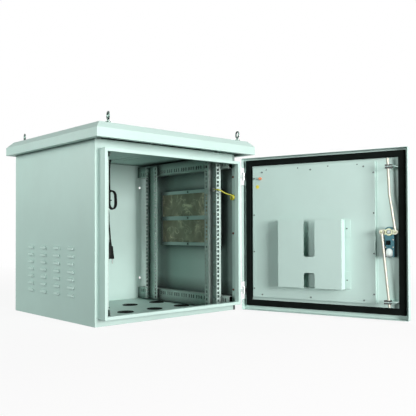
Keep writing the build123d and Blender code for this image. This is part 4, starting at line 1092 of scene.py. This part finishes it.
def tube(name: str, points: Sequence[Point], radius: float) -> tuple[Piece, list[Vector]]:
    """Makes a round lead's mesh along one smooth spline.

    Args:
        name: Name of the new piece.
        points: Control points in order.
        radius: Half the lead's diameter.

    Returns:
        The mesh piece and the points along its middle line.
    """
    curve = bpy.data.curves.new(f"{name}_route", "CURVE")
    curve.dimensions = "3D"
    curve.resolution_u = 10
    curve.bevel_depth = radius
    curve.bevel_resolution = 4
    curve.use_fill_caps = True
    spline = curve.splines.new("NURBS")
    spline.points.add(len(points) - 1)
    for target, point in zip(spline.points, points):
        target.co = (*point, 1.0)
    spline.order_u = 3
    spline.use_endpoint_u = True
    item = bpy.data.objects.new(curve.name, curve)
    bpy.context.scene.collection.objects.link(item)
    bpy.context.view_layer.update()
    mesh = bpy.data.meshes.new_from_object(item)
    curve.bevel_depth = 0.0
    bpy.context.view_layer.update()
    line = bpy.data.meshes.new_from_object(item)
    middle = [vertex.co.copy() for vertex in line.vertices]
    bpy.data.meshes.remove(line)
    bpy.data.objects.remove(item)
    piece = bpy.data.objects.new(name, mesh)
    bpy.context.scene.collection.objects.link(piece)
    Bench.smooth(piece, 60.0)
    return piece, middle


@dataclass
class MainsLead:
    """The fan lead: from its gland, down, folded into a tied hank, and on to its plug.

    Lengths are in metres. The hank hangs in a plane that is turned about the drop. The grip
    grooves of the plug are given by their heights, and by their width, rim and depth, the tie
    by the two radii of its ring before it is stretched, and the reliefs by their wide ends.
    """

    diameter: float = 0.0064
    drop_x: float = 0.034
    drop_y: float = 0.160
    exit_z: float = 0.557
    hank_side: float = 0.0155
    hank_angle: float = 15.0
    hank_low: float = 0.371
    hank_high: float = 0.447
    fold: float = 0.0206
    hank_turns: int = 2
    hank_pitch: float = 0.0068
    hank_growth: float = 0.0016
    hank_slack: float = 0.0003
    plug_x: float = 0.038
    plug_top: float = 0.229
    plug_size: Point = (0.026, 0.020, 0.050)
    plug_neck: float = 0.016
    grooves: tuple[float, ...] = (-0.012, -0.018, -0.024, -0.030)
    groove: Point = (0.0022, 0.0003, 0.0007)
    relief_feet: Place = (0.0056, 0.0062)
    tie_ring: Place = (0.0105, 0.0012)
    tie_stretch: Point = (0.56, 1.35, 1.9)
    tie_head: tuple[Point, Point] = ((-0.0086, -0.0032, -0.0026), (-0.0052, 0.0032, 0.0026))
    tie_place: Point = (-0.0046, 0.0002, 0.4060)

    def bow(self, first: float, height: float) -> list[Place]:
        """Gives the points of one fold of the hank, every 30 degrees.

        Args:
            first: Angle of the first point, in degrees.
            height: Height of the fold's centre above the hank's middle.

        Returns:
            Six points, across and up.
        """
        angles = [math.radians(first + 30 * step) for step in range(6)]
        return [(self.fold * math.cos(a), self.fold * math.sin(a) + height) for a in angles]

    def one_turn(self, turn: int) -> list[Point]:
        """Gives the points of one turn of the hank, down its left side and up its right.

        Args:
            turn: Nought for the front turn, one for the next, which is a little longer.

        Returns:
            The turn's control points.
        """
        middle = (self.hank_low + self.hank_high) / 2
        straight = (self.hank_high - self.hank_low) / 2 - self.diameter / 2 - self.fold
        straight += self.hank_slack + self.hank_growth * turn
        flat = [(-self.fold, straight * share) for share in (0.5, 0.0, -0.5)]
        flat += self.bow(195, -straight)
        flat += [(self.fold, straight * share) for share in (-0.5, 0.0, 0.5)]
        flat += self.bow(15, straight)
        front = self.hank_pitch * (turn - 1)
        return [
            self.turned_point(
                self.hank_side + x, front + self.hank_pitch * index / len(flat), middle + z
            )
            for index, (x, z) in enumerate(flat)
        ]

    def turned_point(self, across: float, deep: float, up: float) -> Point:
        """Gives a point in the hank's own turned plane.

        Args:
            across: Distance to the right of the drop.
            deep: Distance behind the plane.
            up: Height.

        Returns:
            The point.
        """
        turn = math.radians(self.hank_angle)
        return (
            self.drop_x + across * math.cos(turn) - deep * math.sin(turn),
            self.drop_y + across * math.sin(turn) + deep * math.cos(turn),
            up,
        )

    def route(self) -> list[Point]:
        """Gives the route's control points.

        Returns:
            The points from the gland to the plug, in metres.
        """
        points: list[Point] = [
            (self.drop_x, self.drop_y, self.exit_z),
            (self.drop_x, self.drop_y, 0.524),
            (self.drop_x - 0.0002, self.drop_y, 0.492),
            (self.drop_x - 0.0008, self.drop_y - 0.0020, 0.470),
            (self.drop_x - 0.0024, self.drop_y - 0.0056, 0.450),
            (self.drop_x - 0.0036, self.drop_y - 0.0080, 0.434),
        ]
        for turn in range(self.hank_turns):
            points += self.one_turn(turn)
        points += [
            self.turned_point(-0.0051, 0.0070, 0.4170),
            self.turned_point(-0.0052, 0.0074, 0.4080),
            self.turned_point(-0.0050, 0.0074, 0.3980),
            self.turned_point(-0.0042, 0.0068, 0.3860),
            self.turned_point(-0.0024, 0.0050, 0.3710),
            self.turned_point(-0.0006, 0.0022, 0.3520),
            (0.0315, 0.1620, 0.3240),
            (0.0360, 0.1585, 0.2770),
            (self.plug_x, self.drop_y, self.plug_top + 0.0003),
        ]
        return points

    def relief(self, name: str, foot: Point, toward: Point, wide: float) -> Piece:
        """Models a ribbed strain relief that tapers along the lead.

        Args:
            name: Name of the new piece.
            foot: Where its wide end sits.
            toward: A point on the lead that it points to.
            wide: Radius at the wide end.

        Returns:
            The strain relief.
        """
        tip = self.diameter / 2 + 0.0006
        collar, ribs, pitch, depth = 0.003, 6, 0.0036, 0.0006
        profile = [(wide, 0.0), (wide, collar)]
        for rib in range(ribs):
            start = collar + rib * pitch
            radius = wide + (tip - wide) * (rib + 0.6) / ribs
            profile += [(radius - depth, start + 0.0003), (radius - depth, start + 0.0012)]
            profile += [(radius, start + 0.0015), (radius, start + pitch)]
        profile.append((tip - 0.0003, collar + ribs * pitch + 0.001))
        item = Bench.turned(name, profile, smooth=40.0)
        aim = (Vector(toward) - Vector(foot)).to_track_quat("Z", "Y").to_matrix().to_4x4()
        item.data.transform(Matrix.Translation(foot) @ aim)
        return item

    def tie(self) -> Piece:
        """Models the band that ties the hank's left side, with its small square head.

        Returns:
            The band.
        """
        Bench.clear()
        major, minor = self.tie_ring
        bpy.ops.mesh.primitive_torus_add(
            major_segments=40, minor_segments=10, major_radius=major, minor_radius=minor
        )
        band = bpy.context.object
        bpy.ops.object.mode_set(mode="EDIT")
        bpy.ops.mesh.select_all(action="SELECT")
        bpy.ops.transform.resize(value=self.tie_stretch, center_override=(0.0, 0.0, 0.0))
        Bench.close()
        head = Bench.block("tie_head", *self.tie_head)
        Bench.edges(head, lambda a, b: True)
        bpy.ops.mesh.bevel(offset=0.0006, segments=2, affect="EDGES")
        Bench.close()
        band = Bench.joined((band, head), "hank_tie")
        Bench.smooth(band, 45.0)
        turn = Matrix.Rotation(math.radians(self.hank_angle), 4, "Z")
        spot = Matrix.Translation(self.turned_point(*self.tie_place))
        band.data.transform(spot @ turn)
        return band

    def plug(self) -> Piece:
        """Models the moulded plug body with its grip grooves.

        Returns:
            The plug body.
        """
        wide, deep, long = self.plug_size
        body = Bench.block("plug_body", (-wide / 2, -deep / 2, -long), (wide / 2, deep / 2, 0.0))
        Bench.faces(body, lambda middle, normal: normal.z > 0.9)
        taper = (self.plug_neck / wide, self.plug_neck / deep, 1.0)
        bpy.ops.transform.resize(value=taper, center_override=(0.0, 0.0, 0.0))
        Bench.close()
        Bench.edges(body, lambda a, b: True)
        bpy.ops.mesh.bevel(offset=0.0026, segments=3, affect="EDGES")
        Bench.close()
        width, rim, depth = self.groove
        for top in self.grooves:
            foot = top - width
            for cut in (top, foot):
                Bench.faces(body, lambda middle, normal: True)
                bpy.ops.mesh.bisect(plane_co=(0.0, 0.0, cut), plane_no=(0.0, 0.0, 1.0))
                Bench.close()
            Bench.faces(
                body, lambda middle, normal: foot < middle.z < top and abs(normal.z) < 0.5
            )
            bpy.ops.mesh.inset(thickness=rim, depth=-depth)
            Bench.close()
        Bench.smooth(body)
        body.data.transform(Matrix.Translation((self.plug_x, self.drop_y, self.plug_top)))
        return body

    def build(self, shelf: FinishShelf) -> None:
        """Args:
            shelf: The finishes.
        """
        route = self.route()
        lead, middle = tube("mains_lead", route, self.diameter / 2)
        gland = Vector(route[0])
        upper_foot, lower_foot = self.relief_feet
        upper = self.relief("gland_relief", gland, gland - Vector((0.0, 0.0, 0.02)), upper_foot)
        on_plug = (self.plug_x, self.drop_y, self.plug_top - 0.0004)
        lower = self.relief("plug_relief", on_plug, route[-2], lower_foot)
        band = self.tie()
        body = self.plug()
        stands_for = {
            lead: ("mains_lead_drop", "mains_lead_hank", "mains_lead_tail"),
            body: ("mains_plug",),
        }
        for piece in (lead, upper, lower, body, band):
            nodes = stands_for.get(piece, ())
            shelf.fit(piece, Finishes.LEAD_SHEATH, "lead_black", CABINET, *nodes)


@dataclass
class EarthLead:
    """The earth lead from the upright round its flange to a coil on the door frame."""

    diameter: float = 0.004
    coil_y: float = -0.2855
    coil_z: float = 0.40705
    coil_fold: float = 0.0087
    coil_turns: int = 2
    turn_points: int = 12
    bolt: Point = (0.2428, -0.2140, 0.43725)

    def route(self) -> list[Point]:
        """Gives the route's control points.

        Returns:
            The points from the terminal to the coil's far side, in metres.
        """
        points: list[Point] = [
            (0.2330, -0.2290, 0.43725), (0.2235, -0.2385, 0.4372), (0.2198, -0.2515, 0.4360),
            (0.2260, -0.2640, 0.4330), (0.2370, -0.2705, 0.4268), (0.2455, -0.2755, 0.4208),
            (0.2522, -0.2808, 0.4178), (0.2576, -0.2862, 0.4162), (0.2612, -0.2908, 0.4138),
        ]
        count = self.coil_turns * self.turn_points
        for step in range(count):
            angle = math.radians(158) + 2 * math.pi * step / self.turn_points
            across = 0.2640 + 0.0100 * step / count
            deep = self.coil_y + self.coil_fold * math.cos(angle)
            points.append((across, deep, self.coil_z + self.coil_fold * math.sin(angle)))
        return points

    def terminal(self) -> Piece:
        """Models the ring terminal's flat eye.

        Returns:
            The eye, at its bolt.
        """
        profile = ((0.0066, 0.0), (0.0070, 0.0003), (0.0070, 0.0012), (0.0066, 0.0015))
        eye = Bench.turned("terminal_eye", profile, 32)
        hole = Bench.turned("terminal_hole", ((0.0027, -0.001), (0.0027, 0.003)))
        Bench.cut_away(eye, [hole])
        Bench.smooth(eye, 40.0)
        facing = Matrix.Rotation(math.radians(-90.0), 4, "Y")
        eye.data.transform(Matrix.Translation(self.bolt) @ facing)
        return eye

    def build(self, shelf: FinishShelf) -> None:
        """Args:
            shelf: The finishes.
        """
        shelf.fit(self.terminal(), Finishes.BRIGHT_TIN, "zinc", CABINET)
        route = self.route()
        lead, middle = tube("earth_wire", route, self.diameter / 2)
        stands_for = ("earth_lead", "earth_lead_coil")
        shelf.fit(lead, Finishes.EARTH_SLEEVE, "earth_sleeve", CABINET, *stands_for)


@dataclass
class DoorMarks:
    """The plain yellow spot beside the door's earth stud, in millimetres on the door."""

    spot: Place = (59.7, 441.3)

    def build(self, shelf: FinishShelf) -> None:
        """Makes the spot.

        Args:
            shelf: The finishes.
        """
        door = DoorFace()
        profile = ((0.0064, 0.0), (0.0064, 0.0002), (0.0058, 0.00035), (0.0010, 0.0004))
        spot = Bench.turned("earth_spot", profile, 32, smooth=40.0)
        spot.data.transform(door.at(*self.spot, door.liner))
        shelf.fit(spot, Finishes.YELLOW_SPOT, "yellow_zinc", DOOR)


@dataclass
class LockTrim:
    """The arched boss, the small rivets and a dark plate that paints the shade in the window of the
    lock's case.

    Places run along, up and out of the door, in millimetres, and rivets beside the middle.
    The window's half sizes and the insets of the boss's face are in metres.
    """

    middle: float = 531.0
    face: float = 29.3
    boss_up: float = 219.0
    half_width: float = 11.0
    drop: float = 12.0
    thick: float = 2.4
    rivets: tuple[Place, ...] = ((11.5, 257.5), (-11.5, 233.5), (11.5, 233.5))
    window: Point = (527.5, 247.5, 26.9)
    window_half: Place = (0.0073, 0.0068)
    insets: tuple[Place, ...] = ((0.0009, 0.0004), (0.0028, 0.0), (0.0004, -0.0009))

    def boss(self) -> Piece:
        """Models the boss, round above and square below, on its own axis.

        Returns:
            The boss.
        """
        Bench.clear()
        bpy.ops.mesh.primitive_circle_add(
            vertices=32, radius=self.half_width * MM, fill_type="NGON"
        )
        item = bpy.context.object
        item.name = "lock_boss"
        shape = Bench.open(item, "VERT")
        for vertex in shape.verts:
            vertex.select_set(vertex.co.y < -0.0005)
        bmesh.update_edit_mesh(item.data)
        bpy.ops.transform.resize(
            value=(1.0, 0.0, 1.0), center_override=(0.0, -self.drop * MM, 0.0)
        )
        bpy.ops.mesh.select_all(action="SELECT")
        bpy.ops.mesh.extrude_region_move(
            TRANSFORM_OT_translate={"value": (0.0, 0.0, self.thick * MM)}
        )
        Bench.face_out()
        Bench.close()
        Bench.faces(item, lambda middle, normal: normal.z > 0.9)
        for thickness, depth in self.insets:
            bpy.ops.mesh.inset(thickness=thickness, depth=depth)
        Bench.close()
        Bench.smooth(item, 40.0)
        return item

    def shade(self) -> Piece:
        """Models a dark sunk plate that stands in for the shade seen through the window, on its own
        axis.

        Returns:
            The plate.
        """
        x, y = self.window_half
        plate = Bench.block("lock_window_painted_shade", (-x, -y, 0.0), (x, y, 0.0012))
        Bench.faces(plate, lambda middle, normal: normal.z > 0.9)
        bpy.ops.mesh.inset(thickness=0.0014, depth=-0.0005)
        Bench.close()
        return plate

    def build(self, shelf: FinishShelf) -> None:
        """Makes the boss, the rivets and the painted shade plate.

        Args:
            shelf: The finishes.
        """
        door = DoorFace()
        boss = self.boss()
        boss.data.transform(door.at(self.middle, self.boss_up, self.face))
        shelf.fit(boss, Finishes.LOCK_CORE, "zinc", DOOR)
        profile = ((0.0022, 0.0), (0.0022, 0.0005), (0.0016, 0.0012), (0.0006, 0.0015))
        model = Bench.turned("rivet_model", profile, 16, smooth=50.0)
        places = [door.at(self.middle + side, up, self.face) for side, up in self.rivets]
        rivets = Bench.repeat(model, "lock_rivets", places)
        shelf.fit(rivets, Finishes.ROD_ZINC, "zinc", DOOR)
        # A near-black plate sunk in the lock's window paints the shade inside it.
        shade = self.shade()
        shade.data.transform(door.at(*self.window))
        shelf.fit(shade, Finishes.GASKET_FOAM, "black_plastic", DOOR)


@dataclass
class CamTrim:
    """The raised ring, the recessed screw and the pin caps on the lock's cam.

    Places run along, up and out of the door, in millimetres. The cap's profile is in metres.
    """

    middle: Place = (531.0, 281.0)
    face: float = 32.8
    arm: float = 21.5
    pin_face: float = 42.5
    screw: ScrewHead = ScrewHead(0.0068, 0.0045)
    screw_turn: float = 20.0
    cap: tuple[Place, ...] = (
        (0.0046, 0.0), (0.0046, 0.0006), (0.0030, 0.0007), (0.0026, 0.0014), (0.0008, 0.0017),
    )

    def ring(self) -> Piece:
        """Models the ring on its own axis.

        Returns:
            The ring.
        """
        profile = ((0.0116, 0.0), (0.0116, 0.0008), (0.0108, 0.0016), (0.0086, 0.0016))
        ring = Bench.turned("cam_ring", profile, 40)
        hole = Bench.turned("cam_ring_hole", ((0.0074, -0.001), (0.0080, 0.003)), 40)
        Bench.cut_away(ring, [hole])
        Bench.smooth(ring, 40.0)
        return ring

    def build(self, shelf: FinishShelf) -> None:
        """Makes the trim.

        Args:
            shelf: The finishes.
        """
        door = DoorFace()
        along, up = self.middle
        centre = door.at(along, up, self.face)
        ring = self.ring()
        ring.data.transform(centre)
        shelf.fit(ring, Finishes.YELLOW_ZINC, "yellow_zinc", HANDLE)
        screw = self.screw.model("cam_screw_head")
        screw.data.transform(centre @ Matrix.Rotation(math.radians(self.screw_turn), 4, "Z"))
        shelf.fit(screw, Finishes.LOCK_CORE, "yellow_zinc", HANDLE, "cam_screw")
        places = [door.at(along + reach, up, self.pin_face) for reach in (-self.arm, self.arm)]
        model = Bench.turned("pin_cap_model", self.cap, smooth=40.0)
        caps = Bench.repeat(model, "cam_pin_caps", places)
        shelf.fit(caps, Finishes.YELLOW_ZINC, "yellow_zinc", HANDLE)


@dataclass(frozen=True)
class Lamp:
    """One soft square lamp."""

    name: str
    place: Point
    target: Point
    size: float
    power: float
    tint: Colour = (1.0, 1.0, 1.0)

    def hang(self) -> None:
        """Adds the lamp to the scene."""
        light = bpy.data.lights.new(self.name, "AREA")
        light.shape = "SQUARE"
        light.size = self.size
        light.energy = self.power
        light.color = self.tint
        item = bpy.data.objects.new(self.name, light)
        bpy.context.scene.collection.objects.link(item)
        item.location = self.place
        aim = Vector(self.target) - Vector(self.place)
        item.rotation_euler = aim.to_track_quat("-Z", "Y").to_euler()


@dataclass(frozen=True)
class Studio:
    """The pale floor, the soft lights and the camera of the photograph.

    The camera's heading is in degrees to the right of +Y. Its focal length and the place of its
    lens axis are in pixels of the photograph. The floor fades to white as seen from white_from
    to white_to metres from the middle, and shows at least white_least of it at its foot.
    """

    camera_place: Point = (-1.22456, -1.84011, 0.28705)
    yaw: float = 43.3033
    pitch: float = 0.9258
    roll: float = -0.2012
    focal_pixels: float = 597.05
    centre_u: float = 226.77
    centre_v: float = 220.98
    ambient: float = 0.014
    floor_size: float = 60.0
    floor_drop: float = 0.0002
    floor_grey: float = 0.12
    floor_pale: float = 0.9
    white_from: float = 0.9
    white_to: float = 3.2
    white_least: float = 0.88
    lamps: tuple[Lamp, ...] = (
        Lamp("Key", (-0.15, -4.2, 0.62), (0.0, -0.2, 0.28), 1.3, 198.0, (1.0, 0.92, 0.93)),
        Lamp("High", (0.1, -2.6, 1.9), (0.0, -0.1, 0.2), 0.7, 24.0),
        Lamp("Side", (-1.5, 1.35, 0.8), (-0.3, 0.2, 0.4), 0.7, 14.0, (0.88, 1.0, 0.95)),
        Lamp("Door", (-3.7, -0.85, 0.7), (0.35, -0.6, 0.35), 0.9, 47.0),
        Lamp("Rear", (3.0, 1.6, 1.3), (0.3, -0.1, 0.3), 1.2, 70.0),
    )

    def light(self) -> None:
        """Sets up the floor, the world and the lamps."""
        bpy.context.scene.view_settings.view_transform = "Standard"
        self.floor()
        self.world()
        for lamp in self.lamps:
            lamp.hang()

    def shown(self, web: Web) -> Socket:
        """Tells the rays that show the white surroundings from those that light the cabinet.

        Args:
            web: The nodes of the floor's material or of the world.

        Returns:
            One for camera, glossy and transmission rays, and nought for the rest.
        """
        path = web.add("ShaderNodeLightPath")
        total = path.outputs["Is Camera Ray"]
        for kind in ("Is Glossy Ray", "Is Transmission Ray"):
            both = web.add("ShaderNodeMath", operation="ADD", use_clamp=True)
            web.join(total, both.inputs[0])
            web.join(path.outputs[kind], both.inputs[1])
            total = both.outputs["Value"]
        return total

    def floor(self) -> None:
        """Lays the pale floor under the cabinet."""
        Bench.clear()
        low = (0.0, 0.0, -self.floor_drop)
        bpy.ops.mesh.primitive_plane_add(size=self.floor_size, location=low)
        plane = bpy.context.object
        plane.name = "studio_floor"
        bpy.ops.object.transform_apply(location=True)
        material = bpy.data.materials.new("Pale floor")
        material.use_nodes = True
        web = Web(material.node_tree)
        nodes = material.node_tree.nodes
        shader = nodes["Principled BSDF"]
        shader.inputs["Roughness"].default_value = 0.9
        shader.inputs["Specular IOR Level"].default_value = 0.0
        shown = self.shown(web)
        tones = {"A": (*[self.floor_grey] * 3, 1.0), "B": (*[self.floor_pale] * 3, 1.0)}
        tone = web.add("ShaderNodeMix", tones, data_type="RGBA")
        web.join(shown, tone.inputs["Factor"])
        web.join(tone.outputs["Result"], shader.inputs["Base Color"])
        share = web.add("ShaderNodeMath", operation="MULTIPLY")
        web.join(shown, share.inputs[0])
        web.join(self.whiteness(web), share.inputs[1])
        mix = web.add("ShaderNodeMixShader")
        web.join(share.outputs["Value"], mix.inputs["Fac"])
        web.join(shader.outputs["BSDF"], mix.inputs[1])
        web.join(web.add("ShaderNodeEmission").outputs["Emission"], mix.inputs[2])
        web.join(mix.outputs["Shader"], nodes["Material Output"].inputs["Surface"])
        plane.data.materials.append(material)

    def whiteness(self, web: Web) -> Socket:
        """Gives the floor's share of plain white, which grows away from the cabinet.

        Args:
            web: The nodes of the floor's material.

        Returns:
            The share.
        """
        reach = web.add("ShaderNodeVectorMath", operation="LENGTH")
        span = {"From Min": self.white_from, "From Max": self.white_to, "To Min": self.white_least}
        fade = web.add("ShaderNodeMapRange", {**span, "To Max": 1.0})
        web.join(web.add("ShaderNodeTexCoord").outputs["Object"], reach.inputs[0])
        web.join(reach.outputs["Value"], fade.inputs["Value"])
        return fade.outputs["Result"]

    def world(self) -> None:
        """Lights the surroundings softly and shows them white."""
        world = bpy.data.worlds.new("Studio")
        bpy.context.scene.world = world
        world.use_nodes = True
        web = Web(world.node_tree)
        background = world.node_tree.nodes["Background"]
        background.inputs["Color"].default_value = (1.0, 1.0, 1.0, 1.0)
        strength = web.add("ShaderNodeMapRange", {"To Min": self.ambient, "To Max": 1.0})
        web.join(self.shown(web), strength.inputs["Value"])
        web.join(strength.outputs["Result"], background.inputs["Strength"])

    def camera(self) -> None:
        """Stands the camera where the photograph was taken from."""
        data = bpy.data.cameras.new("Photograph")
        item = bpy.data.objects.new("Photograph", data)
        bpy.context.scene.collection.objects.link(item)
        yaw, pitch, roll = (math.radians(a) for a in (self.yaw, self.pitch, self.roll))
        ahead = Vector(
            (math.sin(yaw) * math.cos(pitch), math.cos(yaw) * math.cos(pitch), math.sin(pitch))
        )
        right = Vector((math.cos(yaw), -math.sin(yaw), 0.0))
        upward = right.cross(ahead)
        right_rolled = right * math.cos(roll) + upward * math.sin(roll)
        up_rolled = upward * math.cos(roll) - right * math.sin(roll)
        turn = Matrix((right_rolled, up_rolled, -ahead)).transposed().to_4x4()
        item.matrix_world = Matrix.Translation(self.camera_place) @ turn
        data.sensor_width = SENSOR_WIDTH
        data.lens = self.focal_pixels / IMAGE_WIDTH * SENSOR_WIDTH
        data.shift_x = (IMAGE_WIDTH / 2 - self.centre_u) / IMAGE_WIDTH
        data.shift_y = (self.centre_v - IMAGE_WIDTH / 2) / IMAGE_WIDTH
        data.clip_end = 100.0
        bpy.context.scene.camera = item


def dress(nodes: dict[str, Piece], shelf: FinishShelf) -> None:
    """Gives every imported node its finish, and zinc where none is named.

    Args:
        nodes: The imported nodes' objects by name.
        shelf: The finishes.
    """
    finish_of = {name: finish for finish, names in NODE_FINISHES.items() for name in names}
    for name, item in nodes.items():
        shelf.coat(item, finish_of.get(name, Finishes.ZINC))
    log.info("dressed %d nodes", len(nodes))


def main() -> None:
    """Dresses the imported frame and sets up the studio."""
    logging.basicConfig(level=logging.INFO, format="%(message)s")
    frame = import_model()
    studio = Studio()
    studio.camera()
    shelf = FinishShelf()
    dress(frame["nodes"], shelf)
    for part in (
        MainsLead(), EarthLead(), FilterMats(), Grommets(), DoorSeal(),
        PanelScrews(), CabinetScrews(), DoorMarks(), LockTrim(), CamTrim(),
    ):
        part.build(shelf)
        log.info("%s made", type(part).__name__)
    studio.light()
    bpy.context.view_layer.update()


if __name__ == "__main__":
    main()
